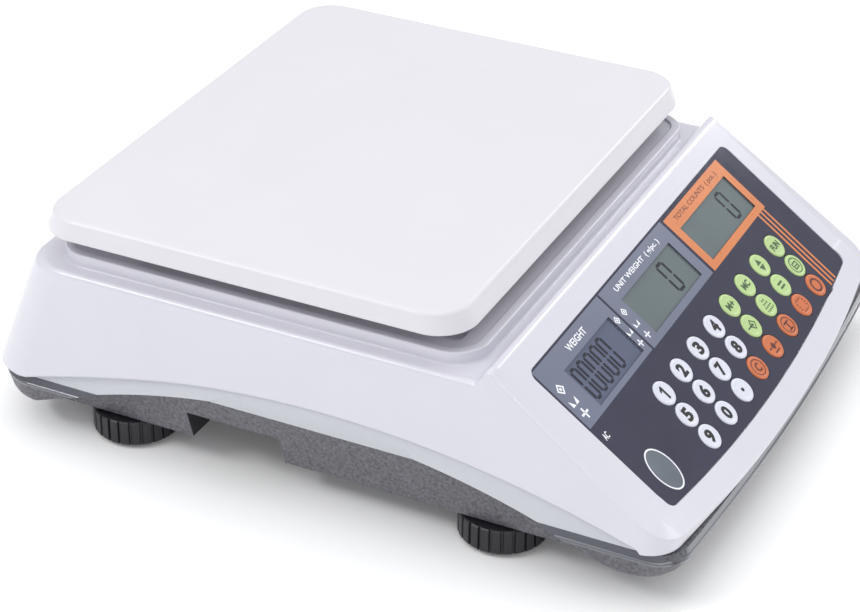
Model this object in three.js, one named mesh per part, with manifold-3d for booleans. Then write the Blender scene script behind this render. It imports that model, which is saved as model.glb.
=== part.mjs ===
// Counting scale: a flat weighing pan on a load cell, in a two-part plastic case
// with a sloping console at the front and four levelling feet.
// Millimetres, +Z up, +Y to the back, +X to the user's right.
// The origin is on the table under the middle of the case.
import * as THREE from 'three';
import { mergeVertices } from 'three/addons/utils/BufferGeometryUtils.js';
import Module from 'manifold-3d';

const wasm = await Module();
wasm.setup();

// ---- driving dimensions ----
const GAP = 0.3; // clearance between pieces that rest on each other
const CASE_FRONT = -196;
const CASE_BACK = 196;
const CASE_HALF_WIDTH = 156;
const FRONT_BOW_RADIUS = 1100; // the upper case's front edge is a shallow arc
const BASE_BOW_RADIUS = 1900; // and the base's a flatter one
const FRONT_CORNER = 18;
const BACK_CORNER = 26;
const BOTTOM_Z = 17.5; // underside of the base
const FLOOR = 4; // thickness of the base's floor
const LIP_Z = 30.2; // widest line of the base
const SEAM_Z = 33.4; // seam between the two cases at the corners
const DECK_Z = 100; // ledge around the pan
const WALL = 3;

// circles, seen from the side, that the lower edges of the two cases follow
const SEAM_ARCH = { y: -2.5, top: 61, radius: 559 };
const RIM_ARCH = { y: 5.5, top: 53, radius: 400 };

// console: a plane that slopes down towards the user, placed by its first row of keys
const CONSOLE_TILT = THREE.MathUtils.degToRad(35.6);
const CONSOLE_Y = -148;
const CONSOLE_Z = 67.5;
const CONSOLE_TOP_Y = -90; // where the slope starts, behind the displays
const CONSOLE_FOOT_Y = -190.5; // where the slope rounds into the front edge
const CONSOLE_SHELL = 6; // thickness of the sloping shell

// pan
const PAN = { width: 295, depth: 237, y: 45, top: 129, bottom: 117.5, corner: 21 };
const PAN_SHEET = 3.5;
const PAN_SKIRT_LEAN = 2;

// raised lip around the well under the pan
const LIP = {
  halfWidth: 141, front: -78, back: 157, top: 107, width: 5, corner: 18, shelf: 9, shelfTop: 105.8,
};

// keys and displays, in the console's own plane: u to the right, v up the slope, n outwards
const KEY_PITCH_U = 23.25;
const KEY_PITCH_V = 15.3;
const KEY_U = -69.75; // first column
const KEY_RADIUS = 7.15;
const KEY_FACE = 0.3; // the pads stand this far above the bezel
const KEY_BACK = -1.9;
const KEY_TRAVEL = 0.5;
const FOIL = { halfWidth: 131, top: 57, bottom: -43.9, bowRadius: 1000, corner: 5, thickness: 0.8 };
const FOIL_SINK = 0.3; // the foil's face lies this far below the bezel
const DISPLAYS = {
  weight: { u: -83.5, v: 32.9, width: 55, height: 24 },
  unit_weight: { u: -5.8, v: 33.5, width: 64.4, height: 23.8 },
  total: { u: 76.1, v: 33.5, width: 65.6, height: 23.8 },
};

// feet
const FOOT_X = 124.5;
const FEET = {
  front_left: [-FOOT_X, -88],
  front_right: [FOOT_X, -88],
  back_left: [-FOOT_X, 123],
  back_right: [FOOT_X, 123],
};
const KNOB = { radius: 23, bottom: 2.3, top: 16.5, ribs: 24 };
const PAD = { radius: 17, height: 2 };
const STUD = { radius: 4, top: 32 };

// load cell, along X under the middle of the pan
const CELL = { length: 130, width: 30, bottom: 30.3, top: 52.3, y: 45 };
const CELL_BOLTS = [42, 57]; // distance of the bolts from the middle of the cell
const BOLT = { radius: 3, headRadius: 5.77, head: 4 };

const BATTERY = { length: 101, depth: 70, height: 47, y: -39, bottom: 21.8 };
const COVER = { width: 114, depth: 84, recess: 2.2 };

const GRIP = { inner: 95, front: 25, back: 78, top: 35, wall: 3.5 };
const NICHE = { halfWidth: 38, bottom: 41, top: 65, wallY: 177, shell: 3 }; // for switch and inlet
const SWITCH_X = -16;
const INLET_X = 18;
const NICHE_Z = 53;

const SCREWS = {
  front_left: [-118, -159],
  front_right: [118, -159],
  back_left: [-110, 159],
  back_right: [110, 159],
};
const SCREW = { radius: 1.6, headRadius: 3.5, head: 2.4, bottom: 18.6, top: 40 };
const SCREW_BOSS_TOP = 25;

// ---- geometry helpers ----
function merged(geometry) {
  const bare = geometry.clone();
  bare.deleteAttribute('normal');
  bare.deleteAttribute('uv');
  return mergeVertices(bare, 1e-4);
}

function toSolid(geometry) {
  const bare = merged(geometry);
  return new wasm.Manifold(new wasm.Mesh({
    numProp: 3,
    vertProperties: new Float32Array(bare.attributes.position.array),
    triVerts: new Uint32Array(bare.index.array),
  }));
}

function toGeometry(solid) {
  const mesh = solid.getMesh();
  const geometry = new THREE.BufferGeometry();
  geometry.setAttribute('position', new THREE.BufferAttribute(mesh.vertProperties, 3));
  geometry.setIndex(new THREE.BufferAttribute(mesh.triVerts, 1));
  geometry.computeVertexNormals();
  return geometry;
}

function join(...solids) {
  return solids.reduce((sum, solid) => sum.add(solid));
}

function box(x0, x1, y0, y1, z0, z1) {
  const geometry = new THREE.BoxGeometry(x1 - x0, y1 - y0, z1 - z0);
  geometry.translate((x0 + x1) / 2, (y0 + y1) / 2, (z0 + z1) / 2);
  return toSolid(geometry);
}

// upright cylinder standing on z0
function post(x, y, radius, z0, z1, segments = 14) {
  const geometry = new THREE.CylinderGeometry(radius, radius, z1 - z0, segments);
  geometry.rotateX(Math.PI / 2);
  geometry.translate(x, y, (z0 + z1) / 2);
  return toSolid(geometry);
}

function shapeOf(points) {
  return new THREE.Shape(points.map(([a, b]) => new THREE.Vector2(a, b)));
}

function prism(shape, z0, z1) {
  const geometry = new THREE.ExtrudeGeometry(shape, { depth: z1 - z0, bevelEnabled: false, curveSegments: 6 });
  geometry.translate(0, 0, z0);
  return geometry;
}

// a profile drawn in the side view (y, z), carried from x0 to x1
function sideProfile(points, x0, x1) {
  const geometry = prism(shapeOf(points), 0, x1 - x0);
  const toSide = new THREE.Matrix4().makeBasis(
    new THREE.Vector3(0, 1, 0), new THREE.Vector3(0, 0, 1), new THREE.Vector3(1, 0, 0));
  geometry.applyMatrix4(toSide);
  geometry.translate(x0, 0, 0);
  return toSolid(geometry);
}

// a profile drawn in the front view (x, z), carried from y0 to y1
function frontProfile(points, y0, y1) {
  const geometry = prism(shapeOf(points), -y1, -y0);
  geometry.rotateX(Math.PI / 2);
  return toSolid(geometry);
}

function arcPoints(cx, cy, radius, from, to, steps) {
  return Array.from({ length: steps + 1 }, (_, i) => {
    const angle = from + (to - from) * i / steps;
    return [cx + radius * Math.cos(angle), cy + radius * Math.sin(angle)];
  });
}

// rectangle with rounded corners and a front side that bows outwards
function bowedOutline(halfWidth, front, back, bow, frontCorner, backCorner, steps = 6) {
  const bowY = front + bow;
  const cornerX = halfWidth - frontCorner;
  const cornerY = bowY - Math.sqrt((bow - frontCorner) ** 2 - cornerX ** 2);
  const bowAngle = Math.atan2(cornerX, bowY - cornerY);
  const down = -Math.PI / 2;
  const backX = halfWidth - backCorner;
  const backY = back - backCorner;
  return [
    ...arcPoints(0, bowY, bow, down - bowAngle, down + bowAngle, 2 * steps),
    ...arcPoints(cornerX, cornerY, frontCorner, down + bowAngle, 0, steps).slice(1),
    ...arcPoints(backX, backY, backCorner, 0, Math.PI / 2, steps),
    ...arcPoints(-backX, backY, backCorner, Math.PI / 2, Math.PI, steps),
    ...arcPoints(-cornerX, cornerY, frontCorner, Math.PI, Math.PI * 1.5 - bowAngle, steps).slice(0, -1),
  ];
}

function roundedRect(x0, x1, y0, y1, radius, steps = 6) {
  return [
    ...arcPoints(x1 - radius, y0 + radius, radius, -Math.PI / 2, 0, steps),
    ...arcPoints(x1 - radius, y1 - radius, radius, 0, Math.PI / 2, steps),
    ...arcPoints(x0 + radius, y1 - radius, radius, Math.PI / 2, Math.PI, steps),
    ...arcPoints(x0 + radius, y0 + radius, radius, Math.PI, Math.PI * 1.5, steps),
  ];
}

// The case's outline drawn up through levels [z, half width, front, back].
function drawnCase(levels, bow = FRONT_BOW_RADIUS) {
  const outline = bowedOutline(
    CASE_HALF_WIDTH, CASE_FRONT, CASE_BACK, bow, FRONT_CORNER, BACK_CORNER);
  const steps = levels.length - 1;
  const geometry = new THREE.ExtrudeGeometry(shapeOf(outline), { depth: steps, steps, bevelEnabled: false });
  const position = geometry.attributes.position;
  for (let i = 0; i < position.count; i++) {
    const [z, halfWidth, front, back] = levels[Math.round(position.getZ(i))];
    const x = position.getX(i) * halfWidth / CASE_HALF_WIDTH;
    const along = (position.getY(i) - CASE_FRONT) / (CASE_BACK - CASE_FRONT);
    position.setXYZ(i, x, front + along * (back - front), z);
  }
  return toSolid(geometry);
}

// prism of the pan's outline, moved in or out by an offset
function panPrism(offset, z0, z1) {
  const halfWidth = PAN.width / 2 + offset;
  const halfDepth = PAN.depth / 2 + offset;
  const outline = roundedRect(
    -halfWidth, halfWidth, PAN.y - halfDepth, PAN.y + halfDepth, PAN.corner + offset);
  return toSolid(prism(shapeOf(outline), z0, z1));
}

function lipPrism(offset, z0, z1) {
  const halfWidth = LIP.halfWidth + offset;
  const outline = roundedRect(
    -halfWidth, halfWidth, LIP.front - offset, LIP.back + offset, LIP.corner + offset);
  return toSolid(prism(shapeOf(outline), z0, z1));
}

// everything below an arch that runs across the whole case
function belowArch(arch, floorZ, lift) {
  const reach = CASE_BACK + 20;
  const chord = Math.sqrt(arch.radius ** 2 - (arch.radius - arch.top + floorZ) ** 2);
  const angle = Math.asin(chord / arch.radius);
  const centre = arch.top - arch.radius;
  const curve = arcPoints(arch.y, centre, arch.radius, Math.PI / 2 - angle, Math.PI / 2 + angle, 20);
  const points = [
    [-reach, -10],
    [reach, -10],
    [reach, floorZ],
    ...curve,
    [-reach, floorZ],
  ].map(([y, z]) => [y, z > 0 ? z + lift : z]);
  return sideProfile(points, -200, 200);
}

// height of the console's face at y, at a depth below the face
function consoleZ(y, depth = 0) {
  return CONSOLE_Z + Math.tan(CONSOLE_TILT) * (y - CONSOLE_Y) - depth / Math.cos(CONSOLE_TILT);
}

const consoleMatrix = new THREE.Matrix4()
  .makeRotationX(CONSOLE_TILT)
  .setPosition(0, CONSOLE_Y, CONSOLE_Z);

// a prism in the console's plane, between two heights along its normal, in the case's frame
function consolePrism(points, n0, n1) {
  return toSolid(prism(shapeOf(points), n0, n1).applyMatrix4(consoleMatrix));
}

function foilOutline(offset) {
  return bowedOutline(
    FOIL.halfWidth + offset, FOIL.bottom - offset, FOIL.top + offset,
    FOIL.bowRadius, FOIL.corner + offset, FOIL.corner + offset, 4);
}

function displayOutline(display, offset) {
  const { u, v, width, height } = display;
  return [
    [u - width / 2 - offset, v - height / 2 - offset],
    [u + width / 2 + offset, v - height / 2 - offset],
    [u + width / 2 + offset, v + height / 2 + offset],
    [u - width / 2 - offset, v + height / 2 + offset],
  ];
}

const keypadOutline = (offset) => roundedRect(
  KEY_U - 10.5 - offset, KEY_U + 7 * KEY_PITCH_U + 10.5 + offset,
  -2 * KEY_PITCH_V - 9 - offset, 9 + offset, 3, 3);

const KEYPAD_FLOOR = -3.9; // floor of the keypad's pocket
const FOIL_FLOOR = -(FOIL_SINK + FOIL.thickness + GAP);
const DISPLAY_FACE = -1.2;
const DISPLAY_BACK = -7.6;

// ---- the two cases ----
function caseEnvelope() {
  const drawn = drawnCase([
    [SEAM_Z - 4, CASE_HALF_WIDTH - 1, CASE_FRONT + 1, CASE_BACK - 1],
    [SEAM_Z + 1.5, CASE_HALF_WIDTH, CASE_FRONT, CASE_BACK],
    [68, 152.7, CASE_FRONT, 184.5],
    [DECK_Z - 5, 150.4, CASE_FRONT, 175],
    [DECK_Z - 1.5, 149.4, CASE_FRONT, 172.5],
    [DECK_Z + 12, 148.4, CASE_FRONT, 169],
  ]);
  const top = sideProfile([
    [CASE_FRONT - 5, 20],
    [CASE_BACK + 5, 20],
    [CASE_BACK + 5, DECK_Z - 14],
    [173, DECK_Z - 3],
    [165, DECK_Z],
    [-81.5, DECK_Z],
    [-84, DECK_Z + 1.6],
    [-87, DECK_Z + 7],
    [-89.5, DECK_Z + 8.4],
    [-92, consoleZ(-92)],
    [CONSOLE_FOOT_Y, consoleZ(CONSOLE_FOOT_Y)],
    [CASE_FRONT, 33],
    [CASE_FRONT - 5, 20.5],
  ], -200, 200);
  return drawn.intersect(top);
}

function upperHollow() {
  const drawn = drawnCase([
    [10, CASE_HALF_WIDTH - WALL - 1, CASE_FRONT + WALL, CASE_BACK - WALL - 1],
    [SEAM_Z + 1.5, CASE_HALF_WIDTH - WALL, CASE_FRONT + WALL, CASE_BACK - WALL],
    [68, 152.7 - WALL, CASE_FRONT + WALL, 184.5 - WALL],
    [DECK_Z - 2, 146.5, CASE_FRONT + WALL, 170],
  ]);
  const inside = sideProfile([
    [CASE_FRONT + 10, 0],
    [CASE_BACK, 0],
    [CASE_BACK, DECK_Z - 18],
    [166, DECK_Z - WALL],
    [CONSOLE_TOP_Y + 4, DECK_Z - WALL],
    [CONSOLE_TOP_Y, consoleZ(CONSOLE_TOP_Y, CONSOLE_SHELL)],
    [CASE_FRONT + 10, consoleZ(CASE_FRONT + 10, CONSOLE_SHELL)],
  ], -200, 200);
  return drawn.intersect(inside);
}

function screwBosses() {
  return Object.values(SCREWS).map(([x, y]) => {
    const top = y < 0 ? consoleZ(y, CONSOLE_SHELL - 1) : DECK_Z - 2;
    return post(x, y, 5, SCREW_BOSS_TOP + GAP, top);
  });
}

function upperHousing() {
  const { halfWidth, bottom, top, wallY, shell } = NICHE;
  const envelope = caseEnvelope();
  const niche = box(-halfWidth - shell, halfWidth + shell, wallY - shell, CASE_BACK + 5,
    bottom - shell, top + shell).intersect(envelope);
  const lip = lipPrism(0, DECK_Z - 1, LIP.top)
    .subtract(lipPrism(-LIP.width, LIP.shelfTop, LIP.top + 1))
    .subtract(lipPrism(-LIP.width - LIP.shelf, DECK_Z - 2, LIP.top + 1));
  const shellBody = envelope
    .subtract(upperHollow())
    .subtract(belowArch(SEAM_ARCH, SEAM_Z, 0));
  let housing = join(shellBody, niche, lip, ...screwBosses());
  const cuts = [
    // niche for the switch and the inlet
    box(-halfWidth, halfWidth, wallY, CASE_BACK + 5, bottom, top),
    box(SWITCH_X - 6.9, SWITCH_X + 6.9, wallY - 10, wallY + 1, NICHE_Z - 9.9, NICHE_Z + 9.9),
    toSolid(new THREE.CylinderGeometry(4.4, 4.4, 20, 20).translate(INLET_X, wallY, NICHE_Z)),
    // way through the deck for the spider's post
    box(29, 71, CELL.y - 21, CELL.y + 21, DECK_Z - 10, DECK_Z + 5),
    // seats for the foil and the keypad
    consolePrism(foilOutline(GAP), FOIL_FLOOR, 5),
    consolePrism(keypadOutline(GAP), KEYPAD_FLOOR, 5),
    ...Object.values(DISPLAYS).map((display) => consolePrism(displayOutline(display, GAP), -12, 5)),
    ...Object.values(SCREWS).map(([x, y]) => post(x, y, 1.9, SCREW_BOSS_TOP - 1, SCREW.top + 2, 12)),
  ];
  for (const cut of cuts) {
    housing = housing.subtract(cut);
  }
  return toGeometry(housing);
}

// the two slanted strips outside the base's recessed side walls
function outsideSideWalls() {
  const lowX = 142;
  const lean = 11 / 35.5; // the wall leans outwards by this much for each millimetre up
  const wallX = (z) => lowX + (z - BOTTOM_Z) * lean;
  return [-1, 1].map((side) => frontProfile([
    [side * wallX(0), 0],
    [side * 220, 0],
    [side * 220, RIM_ARCH.top + 10],
    [side * wallX(RIM_ARCH.top + 10), RIM_ARCH.top + 10],
  ], CASE_FRONT - 20, CASE_BACK + 20));
}

function gripBlock(side, grow, bottom) {
  const inner = side * (GRIP.inner - grow);
  const outer = side * 170;
  return box(Math.min(inner, outer), Math.max(inner, outer),
    GRIP.front - grow, GRIP.back + grow, bottom, GRIP.top + grow);
}

function baseHousing() {
  const hull = drawnCase([
    [BOTTOM_Z, 149, CASE_FRONT + 11, CASE_BACK - 9],
    [BOTTOM_Z + 2, 151.8, CASE_FRONT + 7, CASE_BACK - 5.5],
    [BOTTOM_Z + 6.5, 153.4, CASE_FRONT + 3.2, CASE_BACK - 3.2],
    [LIP_Z - 1, 154.5, CASE_FRONT + 0.5, CASE_BACK - 2],
    [LIP_Z + 0.8, 154.5, CASE_FRONT, CASE_BACK - 2],
    [SEAM_Z, 153, CASE_FRONT + 2.4, CASE_BACK - 3.4],
    [62, 152, CASE_FRONT + 2.8, 185],
  ], BASE_BOW_RADIUS);
  const hollow = drawnCase([
    [BOTTOM_Z + FLOOR, 138, CASE_FRONT + 19, CASE_BACK - 17],
    [SEAM_Z, 143.5, CASE_FRONT + 9, CASE_BACK - 9],
    [RIM_ARCH.top, 148.4, CASE_FRONT + 8, 182],
    [70, 149.2, CASE_FRONT + 8, 179],
  ], BASE_BOW_RADIUS);
  const walls = hull
    .subtract(hollow)
    .intersect(belowArch(SEAM_ARCH, SEAM_Z, -GAP));
  const [leftOutside, rightOutside] = outsideSideWalls();
  const arch = belowArch(RIM_ARCH, 0.5, 0);
  const cuts = [leftOutside.intersect(arch), rightOutside.intersect(arch)];
  const grips = [-1, 1].map((side) => gripBlock(side, GRIP.wall, BOTTOM_Z).intersect(hull));
  const additions = [
    ...grips,
    // seat of the load cell
    box(-66, -33, CELL.y - 16, CELL.y + 16, BOTTOM_Z + 1, CELL.bottom - GAP),
    ...Object.values(FEET).map(([x, y]) => post(x, y, 9, BOTTOM_Z + 1, 34)),
    ...Object.values(SCREWS).map(([x, y]) => post(x, y, 7, BOTTOM_Z + 1, SCREW_BOSS_TOP)),
  ];
  let base = join(walls, ...additions);
  cuts.push(
    ...[-1, 1].map((side) => gripBlock(side, 0, 0)),
    ...Object.values(FEET).map(([x, y]) => post(x, y, STUD.radius + GAP, 0, 60)),
    ...Object.values(SCREWS).map(([x, y]) => post(x, y, 2.1, 0, 60, 12)),
    ...Object.values(SCREWS).map(([x, y]) => post(x, y, 4.2, 0, SCREW.bottom + SCREW.head + GAP, 16)),
    ...CELL_BOLTS.map((x) => post(-x, CELL.y, 3.4, 0, 60)),
    ...CELL_BOLTS.map((x) => post(-x, CELL.y, 6.6, 0, 23)),
    // battery opening with a rebate for its cover
    box(-COVER.width / 2, COVER.width / 2, BATTERY.y - COVER.depth / 2, BATTERY.y + COVER.depth / 2,
      0, BOTTOM_Z + COVER.recess),
    box(-COVER.width / 2 + 5, COVER.width / 2 - 5, BATTERY.y - COVER.depth / 2 + 5,
      BATTERY.y + COVER.depth / 2 - 5, 0, 30),
  );
  for (const cut of cuts) {
    base = base.subtract(cut);
  }
  return toGeometry(base);
}

// ---- weighing parts ----
function weighingPan() {
  const edge = 2.2;
  const halfWidth = PAN.width / 2;
  const halfDepth = PAN.depth / 2;
  const outline = shapeOf(roundedRect(
    -halfWidth, halfWidth, PAN.y - halfDepth, PAN.y + halfDepth, PAN.corner));
  const steps = 3;
  // height, then how far the sides and the front and back have come in at that height
  const levels = [
    [PAN.bottom, 0, 0],
    [PAN.top - edge, -1, -3.4],
    [PAN.top - edge / 3, -1.7, -4.1],
    [PAN.top, -3.4, -5.8],
  ];
  const geometry = new THREE.ExtrudeGeometry(outline, { depth: steps, steps, bevelEnabled: false });
  const position = geometry.attributes.position;
  for (let i = 0; i < position.count; i++) {
    const [z, sideOffset, endOffset] = levels[Math.round(position.getZ(i))];
    const x = position.getX(i) * (halfWidth + sideOffset) / halfWidth;
    const y = PAN.y + (position.getY(i) - PAN.y) * (halfDepth + endOffset) / halfDepth;
    position.setXYZ(i, x, y, z);
  }
  const under = panPrism(-PAN_SHEET - PAN_SKIRT_LEAN, PAN.bottom - 1, PAN.top - PAN_SHEET);
  return toGeometry(toSolid(geometry).subtract(under));
}

const SPIDER = { bottom: 103.5, top: 112, armX: 104, armY: 72, armWidth: 20, hubZ: 62 };

function panSupport() {
  const length = 2 * Math.hypot(SPIDER.armX, SPIDER.armY);
  const angle = Math.atan2(SPIDER.armY, SPIDER.armX);
  const bars = [angle, -angle].map((turn) => {
    const geometry = new THREE.BoxGeometry(length, SPIDER.armWidth, SPIDER.top - SPIDER.bottom);
    geometry.rotateZ(turn);
    geometry.translate(0, PAN.y, (SPIDER.top + SPIDER.bottom) / 2);
    return toSolid(geometry);
  });
  const ends = cushionSpots().map(([x, y]) => post(x, y, SPIDER.armWidth / 2, SPIDER.bottom, SPIDER.top));
  const hub = box(33.5, 66, CELL.y - 15, CELL.y + 15, CELL.top + GAP, SPIDER.top);
  const plate = box(-40, 66, CELL.y - 22, CELL.y + 22, SPIDER.bottom, SPIDER.top);
  let spider = join(...bars, ...ends, plate, hub);
  for (const x of CELL_BOLTS) {
    spider = spider
      .subtract(post(x, CELL.y, 6.6, SPIDER.hubZ, SPIDER.top + 5))
      .subtract(post(x, CELL.y, 3.4, CELL.top - 5, SPIDER.top + 5));
  }
  return toGeometry(spider);
}

function cushionSpots() {
  return [[-1, -1], [1, -1], [-1, 1], [1, 1]].map(([i, j]) => [i * SPIDER.armX, PAN.y + j * SPIDER.armY]);
}

function panCushion([x, y]) {
  const bottom = SPIDER.top + GAP;
  const top = PAN.top - PAN_SHEET - GAP;
  const profile = [
    [0, bottom],
    [8.5, bottom],
    [8.5, top - 2],
    [6.5, top],
    [0, top],
  ];
  const geometry = new THREE.LatheGeometry(profile.map(([r, z]) => new THREE.Vector2(r, z)), 20);
  geometry.rotateX(Math.PI / 2);
  geometry.translate(x, y, 0);
  return toGeometry(toSolid(geometry));
}

function loadCell() {
  const middle = (CELL.bottom + CELL.top) / 2;
  const half = CELL.length / 2;
  const across = (x) => {
    const geometry = new THREE.CylinderGeometry(8, 8, CELL.width + 10, 20);
    geometry.translate(x, CELL.y, middle);
    return toSolid(geometry);
  };
  let cell = box(-half, half, CELL.y - CELL.width / 2, CELL.y + CELL.width / 2, CELL.bottom, CELL.top);
  const cuts = [
    across(-12),
    across(12),
    box(-12, 12, CELL.y - CELL.width, CELL.y + CELL.width, middle - 3, middle + 3),
    ...CELL_BOLTS.map((x) => post(-x, CELL.y, 3.3, CELL.bottom - 5, 46)),
    ...CELL_BOLTS.map((x) => post(x, CELL.y, 3.3, 37, CELL.top + 5)),
  ];
  for (const cut of cuts) {
    cell = cell.subtract(cut);
  }
  return toGeometry(cell);
}

// hexagon-head bolt; up points from the head to the tip
function cellBolt(x, headZ, tipZ) {
  const up = Math.sign(tipZ - headZ);
  const neck = headZ + up * BOLT.head;
  const span = (a, b) => [Math.min(a, b), Math.max(a, b)];
  const head = post(x, CELL.y, BOLT.headRadius, ...span(headZ, neck), 6);
  const shank = post(x, CELL.y, BOLT.radius, ...span(neck - up, tipZ), 12);
  return toGeometry(head.add(shank));
}

// ---- console parts, in the console's own frame ----
function keypadFoil() {
  const [low, high] = [-FOIL_SINK - FOIL.thickness, -FOIL_SINK];
  let foil = toSolid(prism(shapeOf(foilOutline(0)), low, high));
  for (const display of Object.values(DISPLAYS)) {
    foil = foil.subtract(toSolid(prism(shapeOf(displayOutline(display, GAP)), low - 1, high + 1)));
  }
  for (const { u, v } of KEYS) {
    foil = foil.subtract(post(u, v, KEY_RADIUS + 0.35, low - 1, high + 1, 16));
  }
  return toGeometry(foil);
}

function keyPad() {
  const geometry = new THREE.CylinderGeometry(KEY_RADIUS, KEY_RADIUS, KEY_FACE - KEY_BACK, 18);
  geometry.rotateX(Math.PI / 2);
  return geometry.translate(0, 0, (KEY_FACE + KEY_BACK) / 2);
}

function keypadCircuit() {
  return prism(shapeOf(keypadOutline(-GAP)), KEYPAD_FLOOR + GAP, KEY_BACK - KEY_TRAVEL - 0.15);
}

function displayModule(display) {
  return prism(shapeOf(displayOutline(display, 0)), DISPLAY_BACK, DISPLAY_FACE);
}

function mainBoard() {
  return prism(shapeOf(roundedRect(-110, 110, -30, 48, 2, 2)), -9.6, -8);
}

// ---- power ----
function battery() {
  const { length, depth, height, y, bottom } = BATTERY;
  const body = box(-length / 2, length / 2, y - depth / 2, y + depth / 2, bottom, bottom + height);
  const terminals = [-12, 12].map((x) => box(x - 2.5, x + 2.5, y + depth / 2 - 1, y + depth / 2 + 6,
    bottom + height - 14, bottom + height - 13));
  return toGeometry(join(body, ...terminals));
}

function batteryCover() {
  const gap = 0.4;
  const plate = box(-COVER.width / 2 + gap, COVER.width / 2 - gap, BATTERY.y - COVER.depth / 2 + gap,
    BATTERY.y + COVER.depth / 2 - gap, BOTTOM_Z, BOTTOM_Z + COVER.recess - GAP);
  const notch = box(-9, 9, BATTERY.y - COVER.depth / 2 - 1, BATTERY.y - COVER.depth / 2 + 4,
    BOTTOM_Z - 1, BOTTOM_Z + 1.2);
  return toGeometry(plate.subtract(notch));
}

const ROCKER = { y: 174.5, tilt: THREE.MathUtils.degToRad(9) };

function powerSwitchBody() {
  const face = NICHE.wallY;
  const flange = box(SWITCH_X - 8, SWITCH_X + 8, face + GAP, face + 2.3, NICHE_Z - 11, NICHE_Z + 11);
  const body = box(SWITCH_X - 6.5, SWITCH_X + 6.5, face - 16, face + 1, NICHE_Z - 9.5, NICHE_Z + 9.5);
  const pocket = box(SWITCH_X - 5.3, SWITCH_X + 5.3, face - 10, face + 5, NICHE_Z - 8.5, NICHE_Z + 8.5);
  return toGeometry(join(flange, body).subtract(pocket));
}

// rocker button, tipped about its pivot so that its upper end is pressed in
function powerRocker() {
  const reach = 7.4;
  const face = 4.8;
  const points = [
    [-3.5, -4],
    [face, -reach],
    [face - 1.9, 0],
    [face, reach],
    [-3.5, 4],
  ];
  const geometry = prism(shapeOf(points), -4.8, 4.8);
  const toSide = new THREE.Matrix4().makeBasis(
    new THREE.Vector3(0, 1, 0), new THREE.Vector3(0, 0, 1), new THREE.Vector3(1, 0, 0));
  geometry.applyMatrix4(toSide);
  geometry.rotateX(ROCKER.tilt);
  geometry.translate(SWITCH_X, ROCKER.y, NICHE_Z);
  return geometry;
}

// round low-voltage inlet with its centre pin
function dcInlet() {
  const face = NICHE.wallY;
  const profile = [
    [0, -13],
    [4.1, -13],
    [4.1, GAP],
    [5.6, GAP],
    [5.6, 1.8],
    [2.9, 1.8],
    [2.9, -9],
    [1, -9],
    [1, 0.5],
    [0, 0.5],
  ];
  const geometry = new THREE.LatheGeometry(profile.map(([r, y]) => new THREE.Vector2(r, y)), 20);
  return geometry.translate(INLET_X, face, NICHE_Z);
}

// ---- feet and screws ----
function footKnob([x, y]) {
  const outline = [];
  const pitch = 2 * Math.PI / KNOB.ribs;
  for (let i = 0; i < KNOB.ribs; i++) {
    const angle = i * pitch;
    for (const [turn, radius] of [[-0.36, KNOB.radius], [0.36, KNOB.radius], [0.42, KNOB.radius - 1.3],
      [0.58, KNOB.radius - 1.3]]) {
      const at = angle + turn * pitch;
      outline.push([radius * Math.cos(at), radius * Math.sin(at)]);
    }
  }
  const ribbed = prism(shapeOf(outline), KNOB.bottom, KNOB.top);
  ribbed.translate(x, y, 0);
  const stud = post(x, y, STUD.radius, KNOB.top - 1, STUD.top, 12);
  return toGeometry(toSolid(ribbed).add(stud));
}

function footPad([x, y]) {
  return toGeometry(post(x, y, PAD.radius, 0, PAD.height, 24));
}

function housingScrew([x, y]) {
  const head = post(x, y, SCREW.headRadius, SCREW.bottom, SCREW.bottom + SCREW.head, 16);
  const shank = post(x, y, SCREW.radius, SCREW.bottom + 1, SCREW.top, 10);
  return toGeometry(head.add(shank));
}

// ---- materials ----
function finish(color, roughness, metalness = 0) {
  return new THREE.MeshStandardMaterial({ color, roughness, metalness });
}

const FINISH = {
  whiteCase: finish(0xe4e5ea, 0.35),
  whitePan: finish(0xececf0, 0.3),
  greyBase: finish(0x6a6b70, 0.6),
  foil: finish(0x454758, 0.3),
  display: finish(0x7c8789, 0.15),
  whiteKey: finish(0xe6e8f4, 0.4),
  greenKey: finish(0xbde283, 0.4),
  orangeKey: finish(0xd07038, 0.4),
  circuit: finish(0x3a7a4a, 0.5),
  sheet: finish(0xc8c8b8, 0.5),
  aluminium: finish(0xb8babd, 0.4, 1),
  castAluminium: finish(0xa2a4a6, 0.55, 1),
  steel: finish(0x9a9c9e, 0.3, 1),
  rubber: finish(0x1c1c1e, 0.85),
  blackPlastic: finish(0x232327, 0.5),
  battery: finish(0x2c2e33, 0.55),
};

// ---- assembly ----
const WHITE_ROWS = [
  ['key_1', 'key_2', 'key_3', 'key_4'],
  ['key_5', 'key_6', 'key_7', 'key_8'],
  ['key_9', 'key_0', 'key_point'],
];
const GREEN_ROWS = [
  ['key_memory_add', 'key_memory_clear', 'key_up_down', 'key_function'],
  ['key_store', 'key_sample', 'key_equals', 'key_box'],
];
const ORANGE_ROW = ['key_clear', 'key_zero', 'key_tare', 'key_light', 'key_power'];

function keyRow(names, firstColumn, row, material) {
  return names.map((name, i) => ({
    name,
    u: KEY_U + (firstColumn + i) * KEY_PITCH_U,
    v: -row * KEY_PITCH_V,
    material,
  }));
}

const KEYS = [
  ...WHITE_ROWS.flatMap((names, row) => keyRow(names, 0, row, FINISH.whiteKey)),
  ...GREEN_ROWS.flatMap((names, row) => keyRow(names, 4, row, FINISH.greenKey)),
  ...keyRow(ORANGE_ROW, 3, 2, FINISH.orangeKey),
];

const scale = new THREE.Group();
const consoleGroup = new THREE.Group();
consoleGroup.position.set(0, CONSOLE_Y, CONSOLE_Z);
consoleGroup.rotation.x = CONSOLE_TILT;
scale.add(consoleGroup);

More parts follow.
